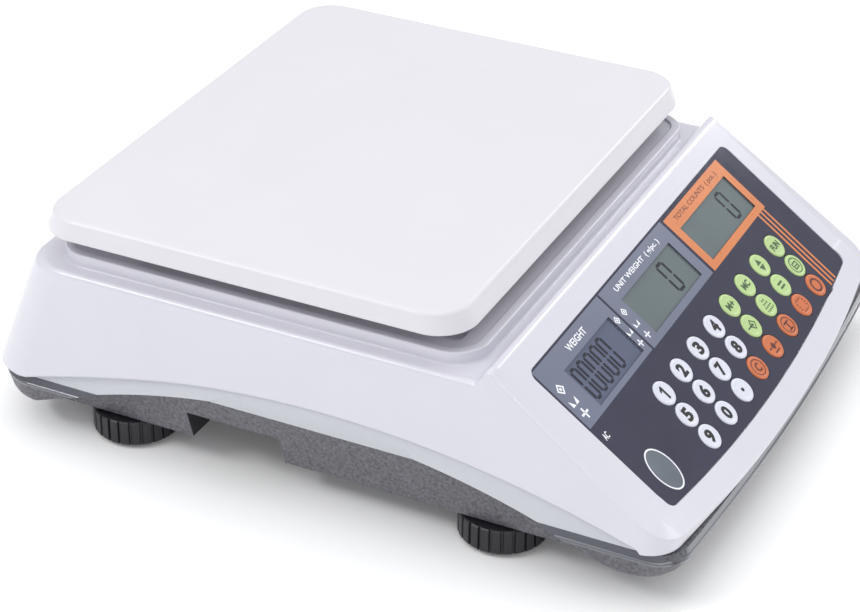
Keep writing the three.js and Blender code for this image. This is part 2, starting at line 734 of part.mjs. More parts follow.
function put(group, name, geometry, material) {
  const mesh = new THREE.Mesh(geometry, material);
  mesh.name = name;
  group.add(mesh);
  return mesh;
}

put(scale, 'base_housing', baseHousing(), FINISH.greyBase);
put(scale, 'upper_housing', upperHousing(), FINISH.whiteCase);
put(scale, 'weighing_pan', weighingPan(), FINISH.whitePan);
put(scale, 'pan_support', panSupport(), FINISH.castAluminium);
cushionSpots().forEach((spot, i) => {
  put(scale, `pan_cushion_${i + 1}`, panCushion(spot), FINISH.rubber);
});

put(scale, 'load_cell', loadCell(), FINISH.aluminium);
CELL_BOLTS.forEach((x, i) => {
  put(scale, `load_cell_base_bolt_${i + 1}`, cellBolt(-x, 18.3, 44), FINISH.steel);
  put(scale, `load_cell_top_bolt_${i + 1}`, cellBolt(x, SPIDER.hubZ + GAP + BOLT.head, 39), FINISH.steel);
});

put(consoleGroup, 'keypad_overlay', keypadFoil(), FINISH.foil);
put(consoleGroup, 'keypad_circuit', keypadCircuit(), FINISH.sheet);
put(consoleGroup, 'main_board', mainBoard(), FINISH.circuit);
for (const [name, display] of Object.entries(DISPLAYS)) {
  put(consoleGroup, `lcd_${name}`, displayModule(display), FINISH.display);
}
for (const { name, u, v, material } of KEYS) {
  put(consoleGroup, name, keyPad(), material).position.set(u, v, 0);
}

put(scale, 'battery', battery(), FINISH.battery);
put(scale, 'battery_cover', batteryCover(), FINISH.greyBase);
put(scale, 'power_switch_body', powerSwitchBody(), FINISH.blackPlastic);
put(scale, 'power_rocker', powerRocker(), FINISH.blackPlastic);
put(scale, 'dc_inlet', dcInlet(), FINISH.blackPlastic);

for (const [place, spot] of Object.entries(FEET)) {
  put(scale, `foot_pad_${place}`, footPad(spot), FINISH.rubber);
  put(scale, `foot_knob_${place}`, footKnob(spot), FINISH.blackPlastic);
}
for (const [place, spot] of Object.entries(SCREWS)) {
  put(scale, `housing_screw_${place}`, housingScrew(spot), FINISH.steel);
}

export default scale;
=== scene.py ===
import math

import bmesh
import bpy
from mathutils import Matrix, Vector


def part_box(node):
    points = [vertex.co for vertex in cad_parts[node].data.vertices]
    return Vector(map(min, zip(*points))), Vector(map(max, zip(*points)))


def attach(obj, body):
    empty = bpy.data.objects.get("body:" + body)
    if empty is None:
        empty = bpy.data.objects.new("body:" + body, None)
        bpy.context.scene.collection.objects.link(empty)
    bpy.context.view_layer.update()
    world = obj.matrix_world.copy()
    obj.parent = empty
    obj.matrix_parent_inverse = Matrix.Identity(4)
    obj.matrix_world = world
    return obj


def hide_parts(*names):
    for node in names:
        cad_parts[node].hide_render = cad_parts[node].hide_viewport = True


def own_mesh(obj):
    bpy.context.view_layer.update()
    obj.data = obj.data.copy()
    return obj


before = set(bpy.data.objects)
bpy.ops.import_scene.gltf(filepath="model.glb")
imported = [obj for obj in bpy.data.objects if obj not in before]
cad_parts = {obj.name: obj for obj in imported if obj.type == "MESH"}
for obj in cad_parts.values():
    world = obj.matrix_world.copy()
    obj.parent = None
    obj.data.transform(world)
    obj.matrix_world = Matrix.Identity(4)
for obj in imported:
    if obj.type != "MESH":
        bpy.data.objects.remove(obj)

# Counting scale. Lengths in this file are millimetres in the part's own frame
# (+X to the user's right, +Y to the back, +Z up) until a mesh is made from them.
MM = 0.001
scene = bpy.context.scene
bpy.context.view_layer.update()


def node_box(name):
    """Lowest and highest corner of a CAD node in millimetres."""
    low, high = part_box(name)
    return low / MM, high / MM


def node_centre(name):
    low, high = node_box(name)
    return (low + high) / 2


# ---- sizes of the two cases ----
HALF_WIDTH = 156.0
FRONT = -196.0
BACK = 196.0
WHITE_BOW = 1100.0  # radius of the upper case's front edge
BASE_BOW = 1900.0  # radius of the base's front edge
FRONT_CORNER = 18.0
BACK_CORNER = 26.0
SEAM_Z = 33.4
WIDEST_Z = 34.9
DECK_Z = 100.0
WALL = 3.0
SIDE_DRAFT = 0.0997  # the wall leans in by this much for each millimetre up
BACK_DRAFT = 0.354
SEAM_ARCH = {"y": -2.5, "top": 61.0, "radius": 559.0}
RIM_ARCH = {"y": 5.5, "top": 53.0, "radius": 400.0}

# console plane, and the rolled step behind it that drops to the ledge around the pan
TILT = math.radians(35.6)
CONSOLE_Y = -148.0
CONSOLE_Z = 67.5
CONSOLE_SHELL = 6.0
STEP_PROFILE = [(-92, None), (-91, 108.1), (-90, 108.38), (-89, 108.38), (-88, 107.95), (-87, 107.0),
                (-86, 105.5), (-85, 103.6), (-84, 101.8), (-83, 100.7), (-82.2, 100.17), (-81.5, 100.0)]
RIM_INSET = 13.3  # the console's side arris lies this far inside the widest line
RIM_DROP = 2.6  # and the chamfer outside it falls by this much

LIP = {"half_width": 141.0, "front": -78.0, "back": 157.0, "corner": 18.0, "top": 107.0, "width": 5.0,
       "shelf": 9.0, "shelf_top": 105.8}
FOIL = {"half_width": 131.0, "low": -43.9, "high": 57.0, "bow": 1000.0, "corner": 5.0,
        "face": -0.3, "floor": -1.4}
KEYPAD_POCKET = {"u": (-80.55, 103.8), "v": (-39.9, 9.3), "corner": 3, "floor": -3.9}
DISPLAY_POCKET = -12  # floor of the pockets for the display modules
CUT_ABOVE = 5  # cutters stand this far above the console
GAP = 0.3  # clearance between neighbouring pieces
KEY_FACE = 0.3
PAN_CORNER = 21.0
PAN_ARRIS = 2.8
PAN_END_LEAN = 2.3  # the skirt's front and back lean in by this much more than its sides
# niche for the switch and the inlet; its shell meets the sloping back wall at back_low and back_high
NICHE = {"half_width": 38.0, "low": 41.0, "high": 65.0, "wall_y": 177.0, "shell": 3.0,
         "back_low": 193.2, "back_high": 182.6}
NICHE_CUT = (165, 180)  # cutters through the niche's wall run between these
SWITCH_FLANGE = 1.1  # the switch's flange covers its hole by this much
INLET_RADIUS = 4.4
DECK_HOLE = {"x": (29, 71), "y": (24, 66), "z": (90, 105)}  # lets the support down to the load cell

# base
GRIP = {"inner": 91.5, "outer": 150.2, "front": 21.5, "back": 81.5, "low": 17.5, "high": 38.5, "wall": 3.5}
BOSS_LOW = 18.5  # bosses grow from inside the floor
FOOT_BOSS = {"radius": 9, "top": 34, "hole": 4.3}
SCREW_BOSS = {"radius": 7, "top": 25, "hole": 2.1, "head": 4.2, "seat": 21.3}
CELL_PLINTH = {"x": (-66, -33), "y": (29, 61), "top": 30}
CELL_BOLT = {"hole": 3.4, "head": 6.6, "seat": 23}
COVER = {"gap": 0.4, "ledge": 4.6, "seat": 19.7}  # recess of the battery cover
THROUGH = 60  # cutters that go right through end at this height
ARCH_REACH = 216  # arch cutters reach this far to the front and the back
RIM_WALL = {"low": 136.6, "high": 158.3, "z": 70}  # slope of the wall set back under the rim arch

CORNERS = ("front_left", "front_right", "back_left", "back_right")


def console_z(y, depth=0.0):
    return CONSOLE_Z + math.tan(TILT) * (y - CONSOLE_Y) - depth / math.cos(TILT)


STEP = [(y, console_z(y) if z is None else z) for y, z in STEP_PROFILE]


def top_z(y):
    """Height of the upper case's top surface at y."""
    if y <= STEP[0][0]:
        return console_z(y)
    for (y0, z0), (y1, z1) in zip(STEP, STEP[1:]):
        if y <= y1:
            return z0 + (z1 - z0) * (y - y0) / (y1 - y0)
    return DECK_Z


def console_point(u, v, n):
    """Point given in the console's own plane: u to the right, v up the slope, n outwards."""
    y = CONSOLE_Y + v * math.cos(TILT) - n * math.sin(TILT)
    z = CONSOLE_Z + v * math.sin(TILT) + n * math.cos(TILT)
    return (u, y, z)


def console_uv(point):
    y, z = point[1] - CONSOLE_Y, point[2] - CONSOLE_Z
    return point[0], y * math.cos(TILT) + z * math.sin(TILT)


def lerp(a, b, t):
    return a + (b - a) * t


def smooth_step(t):
    t = min(1.0, max(0.0, t))
    return t * t * (3 - 2 * t)


def quarter(steps):
    """Angles of a quarter turn."""
    return [math.pi / 2 * i / steps for i in range(steps + 1)]


def arch_z(arch, y):
    return arch["top"] - arch["radius"] + math.sqrt(arch["radius"] ** 2 - (y - arch["y"]) ** 2)


# ---- materials ----
BROAD_SHADE = 38.0  # size in mm of the slow change in a surface's colour
WEAR_PATCH = 6.0  # size in mm of the change in its roughness


def material(name, colour, roughness, metallic=0.0, grain=0.25, depth=0.02, tint=0.03, wear=0.06, coat=0.0,
             specular=0.5, flecks=0.0, voronoi=False):
    """Moulded or metal surface: grain is its texture's size in mm and depth that texture's height."""
    mat = bpy.data.materials.new(name)
    mat.use_nodes = True
    nodes, links = mat.node_tree.nodes, mat.node_tree.links
    shader = nodes["Principled BSDF"]
    shader.inputs["Metallic"].default_value = metallic
    shader.inputs["Coat Weight"].default_value = coat
    shader.inputs["Coat Roughness"].default_value = 0.06
    shader.inputs["Specular IOR Level"].default_value = specular
    where = nodes.new("ShaderNodeTexCoord")

    def noise(size, detail=3.0):
        node = nodes.new("ShaderNodeTexNoise")
        node.inputs["Scale"].default_value = 1.0 / (size * MM)
        node.inputs["Detail"].default_value = detail
        links.new(where.outputs["Object"], node.inputs["Vector"])
        return node

    def remap(source, low, high):
        node = nodes.new("ShaderNodeMapRange")
        node.inputs["From Min"].default_value = 0.3
        node.inputs["From Max"].default_value = 0.7
        node.inputs["To Min"].default_value = low
        node.inputs["To Max"].default_value = high
        links.new(source, node.inputs["Value"])
        return node.outputs["Result"]

    def mix(factor, a, b, blend="MIX"):
        node = nodes.new("ShaderNodeMix")
        node.data_type = "RGBA"
        node.blend_type = blend
        for socket, value in ((node.inputs[0], factor), (node.inputs[6], a), (node.inputs[7], b)):
            if hasattr(value, "links"):
                links.new(value, socket)
            else:
                socket.default_value = value
        return node.outputs[2]

    rgb = [c / 255 for c in colour]
    linear = [c / 12.92 if c <= 0.04045 else ((c + 0.055) / 1.055) ** 2.4 for c in rgb]
    dark = [c * (1 - tint) for c in linear] + [1.0]
    light = [min(1.0, c * (1 + tint)) for c in linear] + [1.0]
    broad = noise(BROAD_SHADE, 2.0)
    shade = mix(remap(broad.outputs["Fac"], 0.0, 1.0), dark, light)
    fine = noise(grain)
    if flecks:
        pale = [min(1.0, c * (1 + flecks) + 0.02 * flecks) for c in linear] + [1.0]
        deep = [c * (1 - 0.5 * flecks) for c in linear] + [1.0]
        fleck = mix(remap(fine.outputs["Fac"], 0.0, 1.0), deep, pale)
        shade = mix(0.75, shade, fleck)
    links.new(shade, shader.inputs["Base Color"])
    worn = remap(noise(WEAR_PATCH).outputs["Fac"], roughness - wear / 2, roughness + wear / 2)
    links.new(worn, shader.inputs["Roughness"])
    bump = nodes.new("ShaderNodeBump")
    bump.inputs["Strength"].default_value = 1.0
    bump.inputs["Distance"].default_value = depth * MM
    if voronoi:
        cells = nodes.new("ShaderNodeTexVoronoi")
        cells.inputs["Scale"].default_value = 1.0 / (grain * MM)
        links.new(where.outputs["Object"], cells.inputs["Vector"])
        links.new(cells.outputs["Distance"], bump.inputs["Height"])
    else:
        links.new(fine.outputs["Fac"], bump.inputs["Height"])
    links.new(bump.outputs["Normal"], shader.inputs["Normal"])
    return mat


WHITE_ABS = material("white_abs", (213, 212, 221), 0.2, grain=0.5, depth=0.003, tint=0.01,
                     wear=0.04, coat=0.3)
WHITE_PAN = material("white_pan_abs", (219, 218, 223), 0.3, grain=0.6, depth=0.002, tint=0.008, wear=0.04)
GREY_TEXTURED = material("grey_textured", (84, 84, 90), 0.42, grain=1.7, depth=0.14, tint=0.06,
                         wear=0.12, flecks=0.9)
# painted light: the base's own grey is dark, and its smooth rim band is coloured pale grey to stand in for
# the light it catches
BAND_PAINTED_LIGHT = material("band_painted_light", (198, 200, 206), 0.42, grain=0.8, depth=0.01, tint=0.04,
                       wear=0.1, flecks=0.06)
GREY_LEDGE = material("grey_ledge", (84, 86, 96), 0.1, grain=0.8, depth=0.002, tint=0.04,
                      wear=0.04, flecks=0.05, coat=1.0, specular=1.0)
# painted shade: the grip recesses are coloured near-black to stand in for the shade that falls in them
RECESS_PAINTED_SHADE = material("recess_painted_shade", (34, 34, 38), 0.6, grain=1.2, depth=0.08, tint=0.06,
                       wear=0.06, flecks=0.3)
FOIL_SLATE = material("foil_slate", (56, 56, 74), 0.16, grain=1.1, depth=0.002, tint=0.06,
                      wear=0.06, specular=0.4)
PRINT_GREY = material("print_grey", (108, 114, 134), 0.26, grain=1.2, depth=0.003,
                      wear=0.02, coat=0.2)
PRINT_ORANGE = material("print_orange", (210, 124, 70), 0.28, grain=1.2, depth=0.003, tint=0.04,
                        wear=0.02, coat=0.2)
PRINT_RUST = material("print_rust", (120, 60, 32), 0.3, grain=1.2, depth=0.003, tint=0.04)
PRINT_WHITE = material("print_white", (240, 240, 246), 0.35, grain=0.8, depth=0.003, tint=0.02)
BADGE_GREY = material("badge_grey", (104, 112, 122), 0.22, grain=0.9, depth=0.004, tint=0.25, coat=0.3)
LCD_GLASS = material("lcd_glass", (98, 110, 112), 0.1, grain=2.0, depth=0.002, tint=0.05, wear=0.04, coat=0.6)
LCD_BLUE = material("lcd_blue", (82, 90, 114), 0.1, grain=2.0, depth=0.002, tint=0.08, wear=0.04, coat=0.6)
LCD_SEGMENT = material("lcd_segment", (30, 32, 46), 0.2, grain=1.0, depth=0.002, tint=0.1)
KEY_WHITE = material("key_white", (214, 216, 228), 0.34, grain=0.5, depth=0.006, tint=0.02)
KEY_GREEN = material("key_green", (180, 206, 140), 0.34, grain=0.5, depth=0.006)
KEY_ORANGE = material("key_orange", (200, 108, 62), 0.36, grain=0.5, depth=0.006, tint=0.04)
INK_BLACK = material("ink_black", (12, 12, 16), 0.4, grain=0.5, depth=0.003, tint=0.08)
INK_GREEN = material("ink_green", (62, 92, 56), 0.4, grain=0.5, depth=0.003, tint=0.08)
INK_MAROON = material("ink_maroon", (92, 34, 26), 0.4, grain=0.5, depth=0.003, tint=0.08)
KNOB_BLACK = material("knob_black", (30, 30, 35), 0.4, grain=0.6, depth=0.012, tint=0.08, wear=0.12)
BLACK_ABS = material("black_abs", (30, 30, 34), 0.38, grain=0.6, depth=0.012, tint=0.08, wear=0.1)
RUBBER = material("rubber_black", (28, 28, 30), 0.8, grain=0.8, depth=0.03, tint=0.1, wear=0.12)
STEEL = material("screw_steel", (168, 170, 172), 0.3, metallic=1.0, grain=0.5, depth=0.008,
                 tint=0.05, wear=0.14)
ALUMINIUM = material("machined_aluminium", (186, 188, 192), 0.36, metallic=1.0, grain=0.4,
                     depth=0.008, tint=0.04, wear=0.12)
CAST = material("cast_aluminium", (158, 160, 163), 0.5, metallic=1.0, grain=1.4, depth=0.06,
                tint=0.06, wear=0.16, voronoi=True)
CIRCUIT = material("circuit_green", (44, 104, 62), 0.42, grain=1.6, depth=0.02, tint=0.12, flecks=0.2)
SHEET = material("switch_sheet", (198, 198, 182), 0.45, grain=1.0, depth=0.006, tint=0.04)
BATTERY = material("battery_case", (44, 46, 52), 0.5, grain=1.0, depth=0.03, tint=0.08, wear=0.12)


# ---- mesh helpers ----
COINCIDENT = 1e-4  # points closer than this are one point


def make_object(name, verts, faces, mat):
    mesh = bpy.data.meshes.new(name)
    mesh.from_pydata([(x * MM, y * MM, z * MM) for x, y, z in verts], [], faces)
    mesh.materials.append(mat)
    obj = bpy.data.objects.new(name, mesh)
    scene.collection.objects.link(obj)
    tidy_mesh(mesh)
    return obj


def tidy_mesh(mesh):
    """Merges points that coincide and turns all faces outwards."""
    bm = bmesh.new()
    bm.from_mesh(mesh)
    bmesh.ops.remove_doubles(bm, verts=bm.verts, dist=COINCIDENT * MM)
    bmesh.ops.dissolve_degenerate(bm, edges=bm.edges, dist=COINCIDENT * MM)
    bmesh.ops.recalc_face_normals(bm, faces=bm.faces)
    bm.to_mesh(mesh)
    bm.free()
    mesh.update()


def smooth(obj, angle):
    """Smooth shading, with edges sharper than an angle kept."""
    mesh = obj.data
    mesh.polygons.foreach_set("use_smooth", [True] * len(mesh.polygons))
    mesh.set_sharp_from_angle(angle=math.radians(angle))
    normals = obj.modifiers.new("normals", "WEIGHTED_NORMAL")
    normals.keep_sharp = True
    normals.weight = 80


def bake(obj):
    """Applies the object's modifiers."""
    graph = bpy.context.evaluated_depsgraph_get()
    mesh = bpy.data.meshes.new_from_object(
        obj.evaluated_get(graph), preserve_all_data_layers=True, depsgraph=graph)
    obj.modifiers.clear()
    obj.data = mesh


def boolean(obj, operation, cutters):
    for cutter in cutters:
        step = obj.modifiers.new("cut", "BOOLEAN")
        step.operation = operation
        step.solver = "MANIFOLD"
        step.object = cutter
    bake(obj)
    for cutter in cutters:
        bpy.data.objects.remove(cutter)


def place(obj, body, slot, *nodes):
    """Fixes a piece to its body and hides the CAD nodes it stands for; the slot it is given is not used."""
    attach(obj, body)
    if nodes:
        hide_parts(*nodes)


def loft(rings, closed_tube=False):
    """Skin over rings with the same number of points; ends are capped, or joined to each other."""
    count = len(rings[0])
    verts = [p for ring in rings for p in ring]
    faces = []
    spans = len(rings) if closed_tube else len(rings) - 1
    for i in range(spans):
        a, b = i * count, (i + 1) % len(rings) * count
        for j in range(count):
            k = (j + 1) % count
            faces.append((a + j, a + k, b + k, b + j))
    if not closed_tube:
        faces.append(tuple(reversed(range(count))))
        faces.append(tuple(range(len(verts) - count, len(verts))))
    return verts, faces


def joined(*parts):
    """Several solids as the points and faces of one mesh."""
    verts, faces = [], []
    for part_verts, part_faces in parts:
        start = len(verts)
        verts += part_verts
        faces += [tuple(i + start for i in f) for f in part_faces]
    return verts, faces


def arc(cx, cy, radius, start, end, steps):
    angles = [lerp(start, end, i / steps) for i in range(steps + 1)]
    return [(cx + radius * math.cos(a), cy + radius * math.sin(a)) for a in angles]


def rounded_rect(x0, x1, y0, y1, radius, steps=10):
    q = math.pi / 2
    left, right, near, far = x0 + radius, x1 - radius, y0 + radius, y1 - radius
    return (arc(right, near, radius, -q, 0, steps) + arc(right, far, radius, 0, q, steps)
            + arc(left, far, radius, q, 2 * q, steps) + arc(left, near, radius, 2 * q, 3 * q, steps))


def bowed_half(half_width, front, back, bow, front_corner, back_corner, side_y, steps):
    """Right half of the case's plan from the front's middle to the back's, as (point, outward normal)."""
    bow_y = front + bow
    corner_x = half_width - front_corner
    corner_y = bow_y - math.sqrt((bow - front_corner) ** 2 - corner_x ** 2)
    bow_angle = math.atan2(corner_x, bow_y - corner_y)
    down = -math.pi / 2
    out = []

    def along(cx, cy, radius, start, end, count, skip=0):
        for i in range(skip, count + 1):
            a = lerp(start, end, i / count)
            out.append(((cx + radius * math.cos(a), cy + radius * math.sin(a)), (math.cos(a), math.sin(a))))

    along(0, bow_y, bow, down, down + bow_angle, steps)
    along(corner_x, corner_y, front_corner, down + bow_angle, 0, steps, skip=1)
    back_y = back - back_corner
    for y in side_y:
        if corner_y + 1 < y < back_y - 1:
            out.append(((half_width, y), (1.0, 0.0)))
    along(half_width - back_corner, back_y, back_corner, 0, math.pi / 2, steps)
    for i in (0.66, 0.33, 0.0):
        out.append((((half_width - back_corner) * i, back), (0.0, 1.0)))
    return out


def mirrored(half):
    """Closed loop of points from its right half."""
    return half + [(-x, y) for x, y in reversed(half) if abs(x) > 1e-6]


def console_slab(outline, low, high):
    """Plate in the console's plane between two heights along its normal."""
    return loft([[console_point(u, v, n) for u, v in outline] for n in (low, high)])


def console_frame(outer, inner, low, high):
    """Frame between two outlines with the same number of points."""
    rings = [[console_point(u, v, n) for u, v in outline]
             for outline, n in ((outer, low), (outer, high), (inner, high), (inner, low))]
    return loft(rings, closed_tube=True)


def box_solid(x0, x1, y0, y1, z0, z1):
    return loft([[(x0, y0, z), (x1, y0, z), (x1, y1, z), (x0, y1, z)] for z in (z0, z1)])


def circle_points(x, y, radius, steps):
    return arc(x, y, radius, 0, 2 * math.pi, steps)[:-1]


def post(x, y, radius, z0, z1, steps=32):
    circle = circle_points(x, y, radius, steps)
    return loft([[(a, b, z) for a, b in circle] for z in (z0, z1)])


def side_solid(points, x0, x1):
    """Profile drawn in the side view (y, z), carried from x0 to x1."""
    return loft([[(x, y, z) for y, z in points] for x in (x0, x1)])


def foil_outline(offset, steps=14):
    half = bowed_half(FOIL["half_width"] + offset, FOIL["low"] - offset, FOIL["high"] + offset, FOIL["bow"],
                      FOIL["corner"] + offset, FOIL["corner"] + offset, [0], steps)
    return mirrored([p for p, _ in half])


def rect(u0, u1, v0, v1):
    return [(u0, v0), (u1, v0), (u1, v1), (u0, v1)]


LCD_DEPTH = 6.4  # thickness of a display module along the console's normal


def display_window(name):
    """Edges of a display in the console's plane: left, right, low and high."""
    low, high = node_box(f"lcd_{name}")
    u, v = console_uv((low + high) / 2)
    width = high[0] - low[0]
    height = ((high[1] - low[1]) - LCD_DEPTH * math.sin(TILT)) / math.cos(TILT)
    return (u - width / 2, u + width / 2, v - height / 2, v + height / 2)


DISPLAYS = {name: display_window(name) for name in ("weight", "unit_weight", "total")}
KEYS = [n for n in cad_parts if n.startswith("key_")]
KEY_UV = {n: console_uv(node_centre(n)) for n in KEYS}


# ---- upper case ----
def fillet(corner, before, after, radius, steps):
    """Points that round a corner of a flat polyline."""
    c, a, b = Vector(corner), Vector(before), Vector(after)
    da, db = a - c, b - c
    half = da.angle(db) / 2
    reach = radius / math.tan(half)
    limit = 0.48 * min(da.length, db.length)
    if reach > limit:
        reach = limit
        radius = reach * math.tan(half)
    centre = c + (da.normalized() + db.normalized()).normalized() * (radius / math.sin(half))
    start, end = c + da.normalized() * reach, c + db.normalized() * reach
    ra, rb = start - centre, end - centre
    turn = math.atan2(ra.x * rb.y - ra.y * rb.x, ra.dot(rb))
    out = []
    for i in range(steps + 1):
        t = turn * i / steps
        x = centre.x + ra.x * math.cos(t) - ra.y * math.sin(t)
        y = centre.y + ra.x * math.sin(t) + ra.y * math.cos(t)
        out.append((x, y))
    return out


def draft_shift(point, z):
    """How far the case's wall has moved in from its widest line at height z."""
    rise = max(0.0, z - WIDEST_Z)
    share = smooth_step((point[1] - 60.0) / 90.0)
    return Vector((SIDE_DRAFT * rise * point[0] / HALF_WIDTH, BACK_DRAFT * rise * share))


def case_profile(point, normal):
    """Wall section at one place of the plan, from the inner top, round the lower rim, to the top surface."""
    nx2, front, back = normal[0] ** 2, max(0.0, -normal[1]) ** 2, max(0.0, normal[1]) ** 2
    start = 0.8 * front
    outward = Vector(normal)

    def wall_inset(z):
        return start + draft_shift(point, z).dot(outward)

    def surface(s):
        return top_z(point[1] - normal[1] * s) if point[1] < 0 else DECK_Z

    def meet(drop):
        """Where the wall meets the top surface lowered by a drop."""
        s = start
        for _ in range(30):
            s = wall_inset(surface(s) - drop)
        return s, surface(s) - drop

    edge = max(SEAM_Z, arch_z(SEAM_ARCH, point[1]) if nx2 > 0.999 else SEAM_Z)
    corner = meet(0.0)
    edge = min(edge, corner[1] - 0.25)
    base = (wall_inset(edge), edge)
    # plain shoulder
    radius = 3.5 + 6.0 * back
    inside_s = corner[0] + (40 if front < 0.5 else 12)
    inside = (inside_s, surface(inside_s))
    plain = fillet(corner, base, inside, radius, 11)
    # console rim: wall, chamfer, bezel
    w = smooth_step((-86.0 - point[1]) / 10.0)
    rim = plain
    if w > 0:
        outer = meet(RIM_DROP * nx2)
        inset = lerp(5.0, RIM_INSET, nx2)
        inner = (inset, surface(inset))
        halfway = ((outer[0] + inner[0]) / 2, (outer[1] + inner[1]) / 2)
        rim = (fillet(outer, base, inner, lerp(1.4, 2.6, nx2), 5)
               + fillet(inner, halfway, (inset + 10, surface(inset + 10)), lerp(5.0, 1.6, nx2), 5))
    shoulder = [(lerp(a[0], b[0], w), lerp(a[1], b[1], w)) for a, b in zip(plain, rim)]
    # rolled lower edge and inner wall
    roll = min(2.2, 0.6 * (shoulder[0][1] - edge))
    wall_in = lerp(WALL, 12.0, front)
    inner_s = wall_inset(edge) + wall_in
    y_in = point[1] - normal[1] * (inner_s + 1)
    ceiling = inner_top(y_in)
    rolled = [(wall_inset(edge) + roll * (1 - math.cos(a)), edge + roll * (1 - math.sin(a)))
              for a in reversed(quarter(6))]
    high_s = wall_inset(ceiling) + wall_in
    profile = [(high_s, max(ceiling, edge + 0.4)), (inner_s, edge)] + rolled + shoulder
    top = max(z for _, z in shoulder)
    out = []
    for s, z in profile:
        shift = draft_shift(point, min(z, top))
        place_xy = Vector(point) - shift - outward * (s - shift.dot(outward))
        out.append((place_xy.x, place_xy.y, z))
    return out


def inner_top(y):
    if y <= -90:
        return console_z(y, CONSOLE_SHELL)
    if y <= -86:
        return lerp(console_z(-90, CONSOLE_SHELL), DECK_Z - WALL, (y + 90) / 4)
    return DECK_Z - WALL


def build_upper_case():
    side_y = [-175, -165, -150, -135, -120, -108, -100] + [-96 + 0.8 * i for i in range(5)]
    side_y += [y for y, _ in STEP] + [-78, -70] + list(range(-60, 170, 12))
    half = bowed_half(HALF_WIDTH, FRONT, BACK, WHITE_BOW, FRONT_CORNER, BACK_CORNER, side_y, 14)
    rows = [case_profile(point, normal) for point, normal in half]
    count = len(rows[0])
    left = [[(-x, y, z) for x, y, z in row] for row in rows[1:-1]]
    loop = rows + list(reversed(left))
    verts = [p for row in loop for p in row]
    faces = []
    total = len(loop)
    for i in range(total):
        a, b = i * count, (i + 1) % total * count
        for j in range(count - 1):
            faces.append((a + j, b + j, b + j + 1, a + j + 1))
    last = len(rows) - 1

    def ladder(j):
        """Covers the loop of the j-th points with strips from side to side."""
        def right_at(i):
            return i * count + j

        def left_at(i):
            return (total - i) % total * count + j if 0 < i < last else i * count + j

        for i in range(last):
            corners = [right_at(i), right_at(i + 1), left_at(i + 1), left_at(i)]
            unique = list(dict.fromkeys(corners))
            if len(unique) > 2:
                faces.append(tuple(unique))

    ladder(0)
    ladder(count - 1)
    case = make_object("upper_case", verts, faces, WHITE_ABS)
    boolean(case, "UNION", [build_lip(), build_niche()])
    cuts = upper_case_cuts()
    boolean(case, "DIFFERENCE", [make_object(f"cut_{i}", v, f, WHITE_ABS) for i, (v, f) in enumerate(cuts)])
    smooth(case, 30)
    place(case, "case", "white_case", "upper_housing")


def build_niche():
    shell = NICHE["shell"]
    front, low, high = NICHE["wall_y"] - WALL, NICHE["low"] - shell, NICHE["high"] + shell
    half_width = NICHE["half_width"] + shell
    section = [(front, low), (NICHE["back_low"], low), (NICHE["back_high"], high), (front, high)]
    return make_object("niche", *side_solid(section, -half_width, half_width), WHITE_ABS)


def upper_case_cuts():
    """Everything that is taken out of the upper case: niche, foil bed, pockets and holes."""
    half_width, pocket = NICHE["half_width"], KEYPAD_POCKET
    cuts = [
        box_solid(-half_width, half_width, NICHE["wall_y"], BACK + 9, NICHE["low"], NICHE["high"]),
        console_slab(foil_outline(GAP), FOIL["floor"], CUT_ABOVE),
        console_slab(rounded_rect(*pocket["u"], *pocket["v"], pocket["corner"]), pocket["floor"], CUT_ABOVE),
    ]
    for u0, u1, v0, v1 in DISPLAYS.values():
        cuts.append(console_slab(rect(u0 - GAP, u1 + GAP, v0 - GAP, v1 + GAP), DISPLAY_POCKET, CUT_ABOVE))
    low, high = node_box("power_switch_body")
    flange = SWITCH_FLANGE
    cuts.append(box_solid(low[0] + flange, high[0] - flange, *NICHE_CUT, low[2] + flange, high[2] - flange))
    inlet = node_centre("dc_inlet")
    circle = circle_points(0, 0, INLET_RADIUS, 28)
    cuts.append(loft([[(inlet[0] + a, y, inlet[2] + b) for a, b in circle] for y in NICHE_CUT]))
    cuts.append(box_solid(*DECK_HOLE["x"], *DECK_HOLE["y"], *DECK_HOLE["z"]))
    return cuts


def build_lip():
    """Raised lip around the well: flared foot, rounded rim, slightly lower shelf and inner wall."""
    top, width, shelf, shelf_top = LIP["top"], LIP["width"], LIP["shelf"], LIP["shelf_top"]
    flare, outer, inner, edge, step = 1.6, 0.9, 0.6, 0.8, 0.3
    section = [(flare, DECK_Z - 0.4)]
    section += [(flare * (1 - math.sin(a)), DECK_Z + flare * (1 - math.cos(a))) for a in quarter(5)]
    section += [(-outer * (1 - math.cos(a)), top - outer * (1 - math.sin(a))) for a in quarter(4)]
    section += [(-width + inner * (1 - math.sin(a)), top - inner * (1 - math.cos(a))) for a in quarter(4)]
    section += [(-width, shelf_top + step), (-width - step, shelf_top)]
    section += [(-width - shelf + edge * (1 - math.sin(a)), shelf_top - edge * (1 - math.cos(a)))
                for a in quarter(4)]
    section += [(-width - shelf, DECK_Z + 1.2), (-width - shelf - 1.2, DECK_Z - 0.4)]
    rings = []
    for offset, z in section:
        outline = rounded_rect(-LIP["half_width"] - offset, LIP["half_width"] + offset, LIP["front"] - offset,
                               LIP["back"] + offset, max(1.5, LIP["corner"] + offset), 12)
        rings.append([(x, y, z) for x, y in outline])
    return make_object("lip", *loft(rings, closed_tube=True), WHITE_ABS)


# ---- base ----
def base_loft(name, levels, bow, steps=12):
    """Plan of the case drawn up through levels (z, half width, front, back)."""
    half = bowed_half(HALF_WIDTH, FRONT, BACK, bow, FRONT_CORNER, BACK_CORNER, range(-160, 170, 30), steps)
    plan = mirrored([p for p, _ in half])
    rings = []
    for z, half_width, front, back in levels:
        ring = []
        for x, y in plan:
            share = (y - FRONT) / (BACK - FRONT)
            ring.append((x * half_width / HALF_WIDTH, front + share * (back - front), z))
        rings.append(ring)
    return make_object(name, *loft(rings), GREY_TEXTURED)


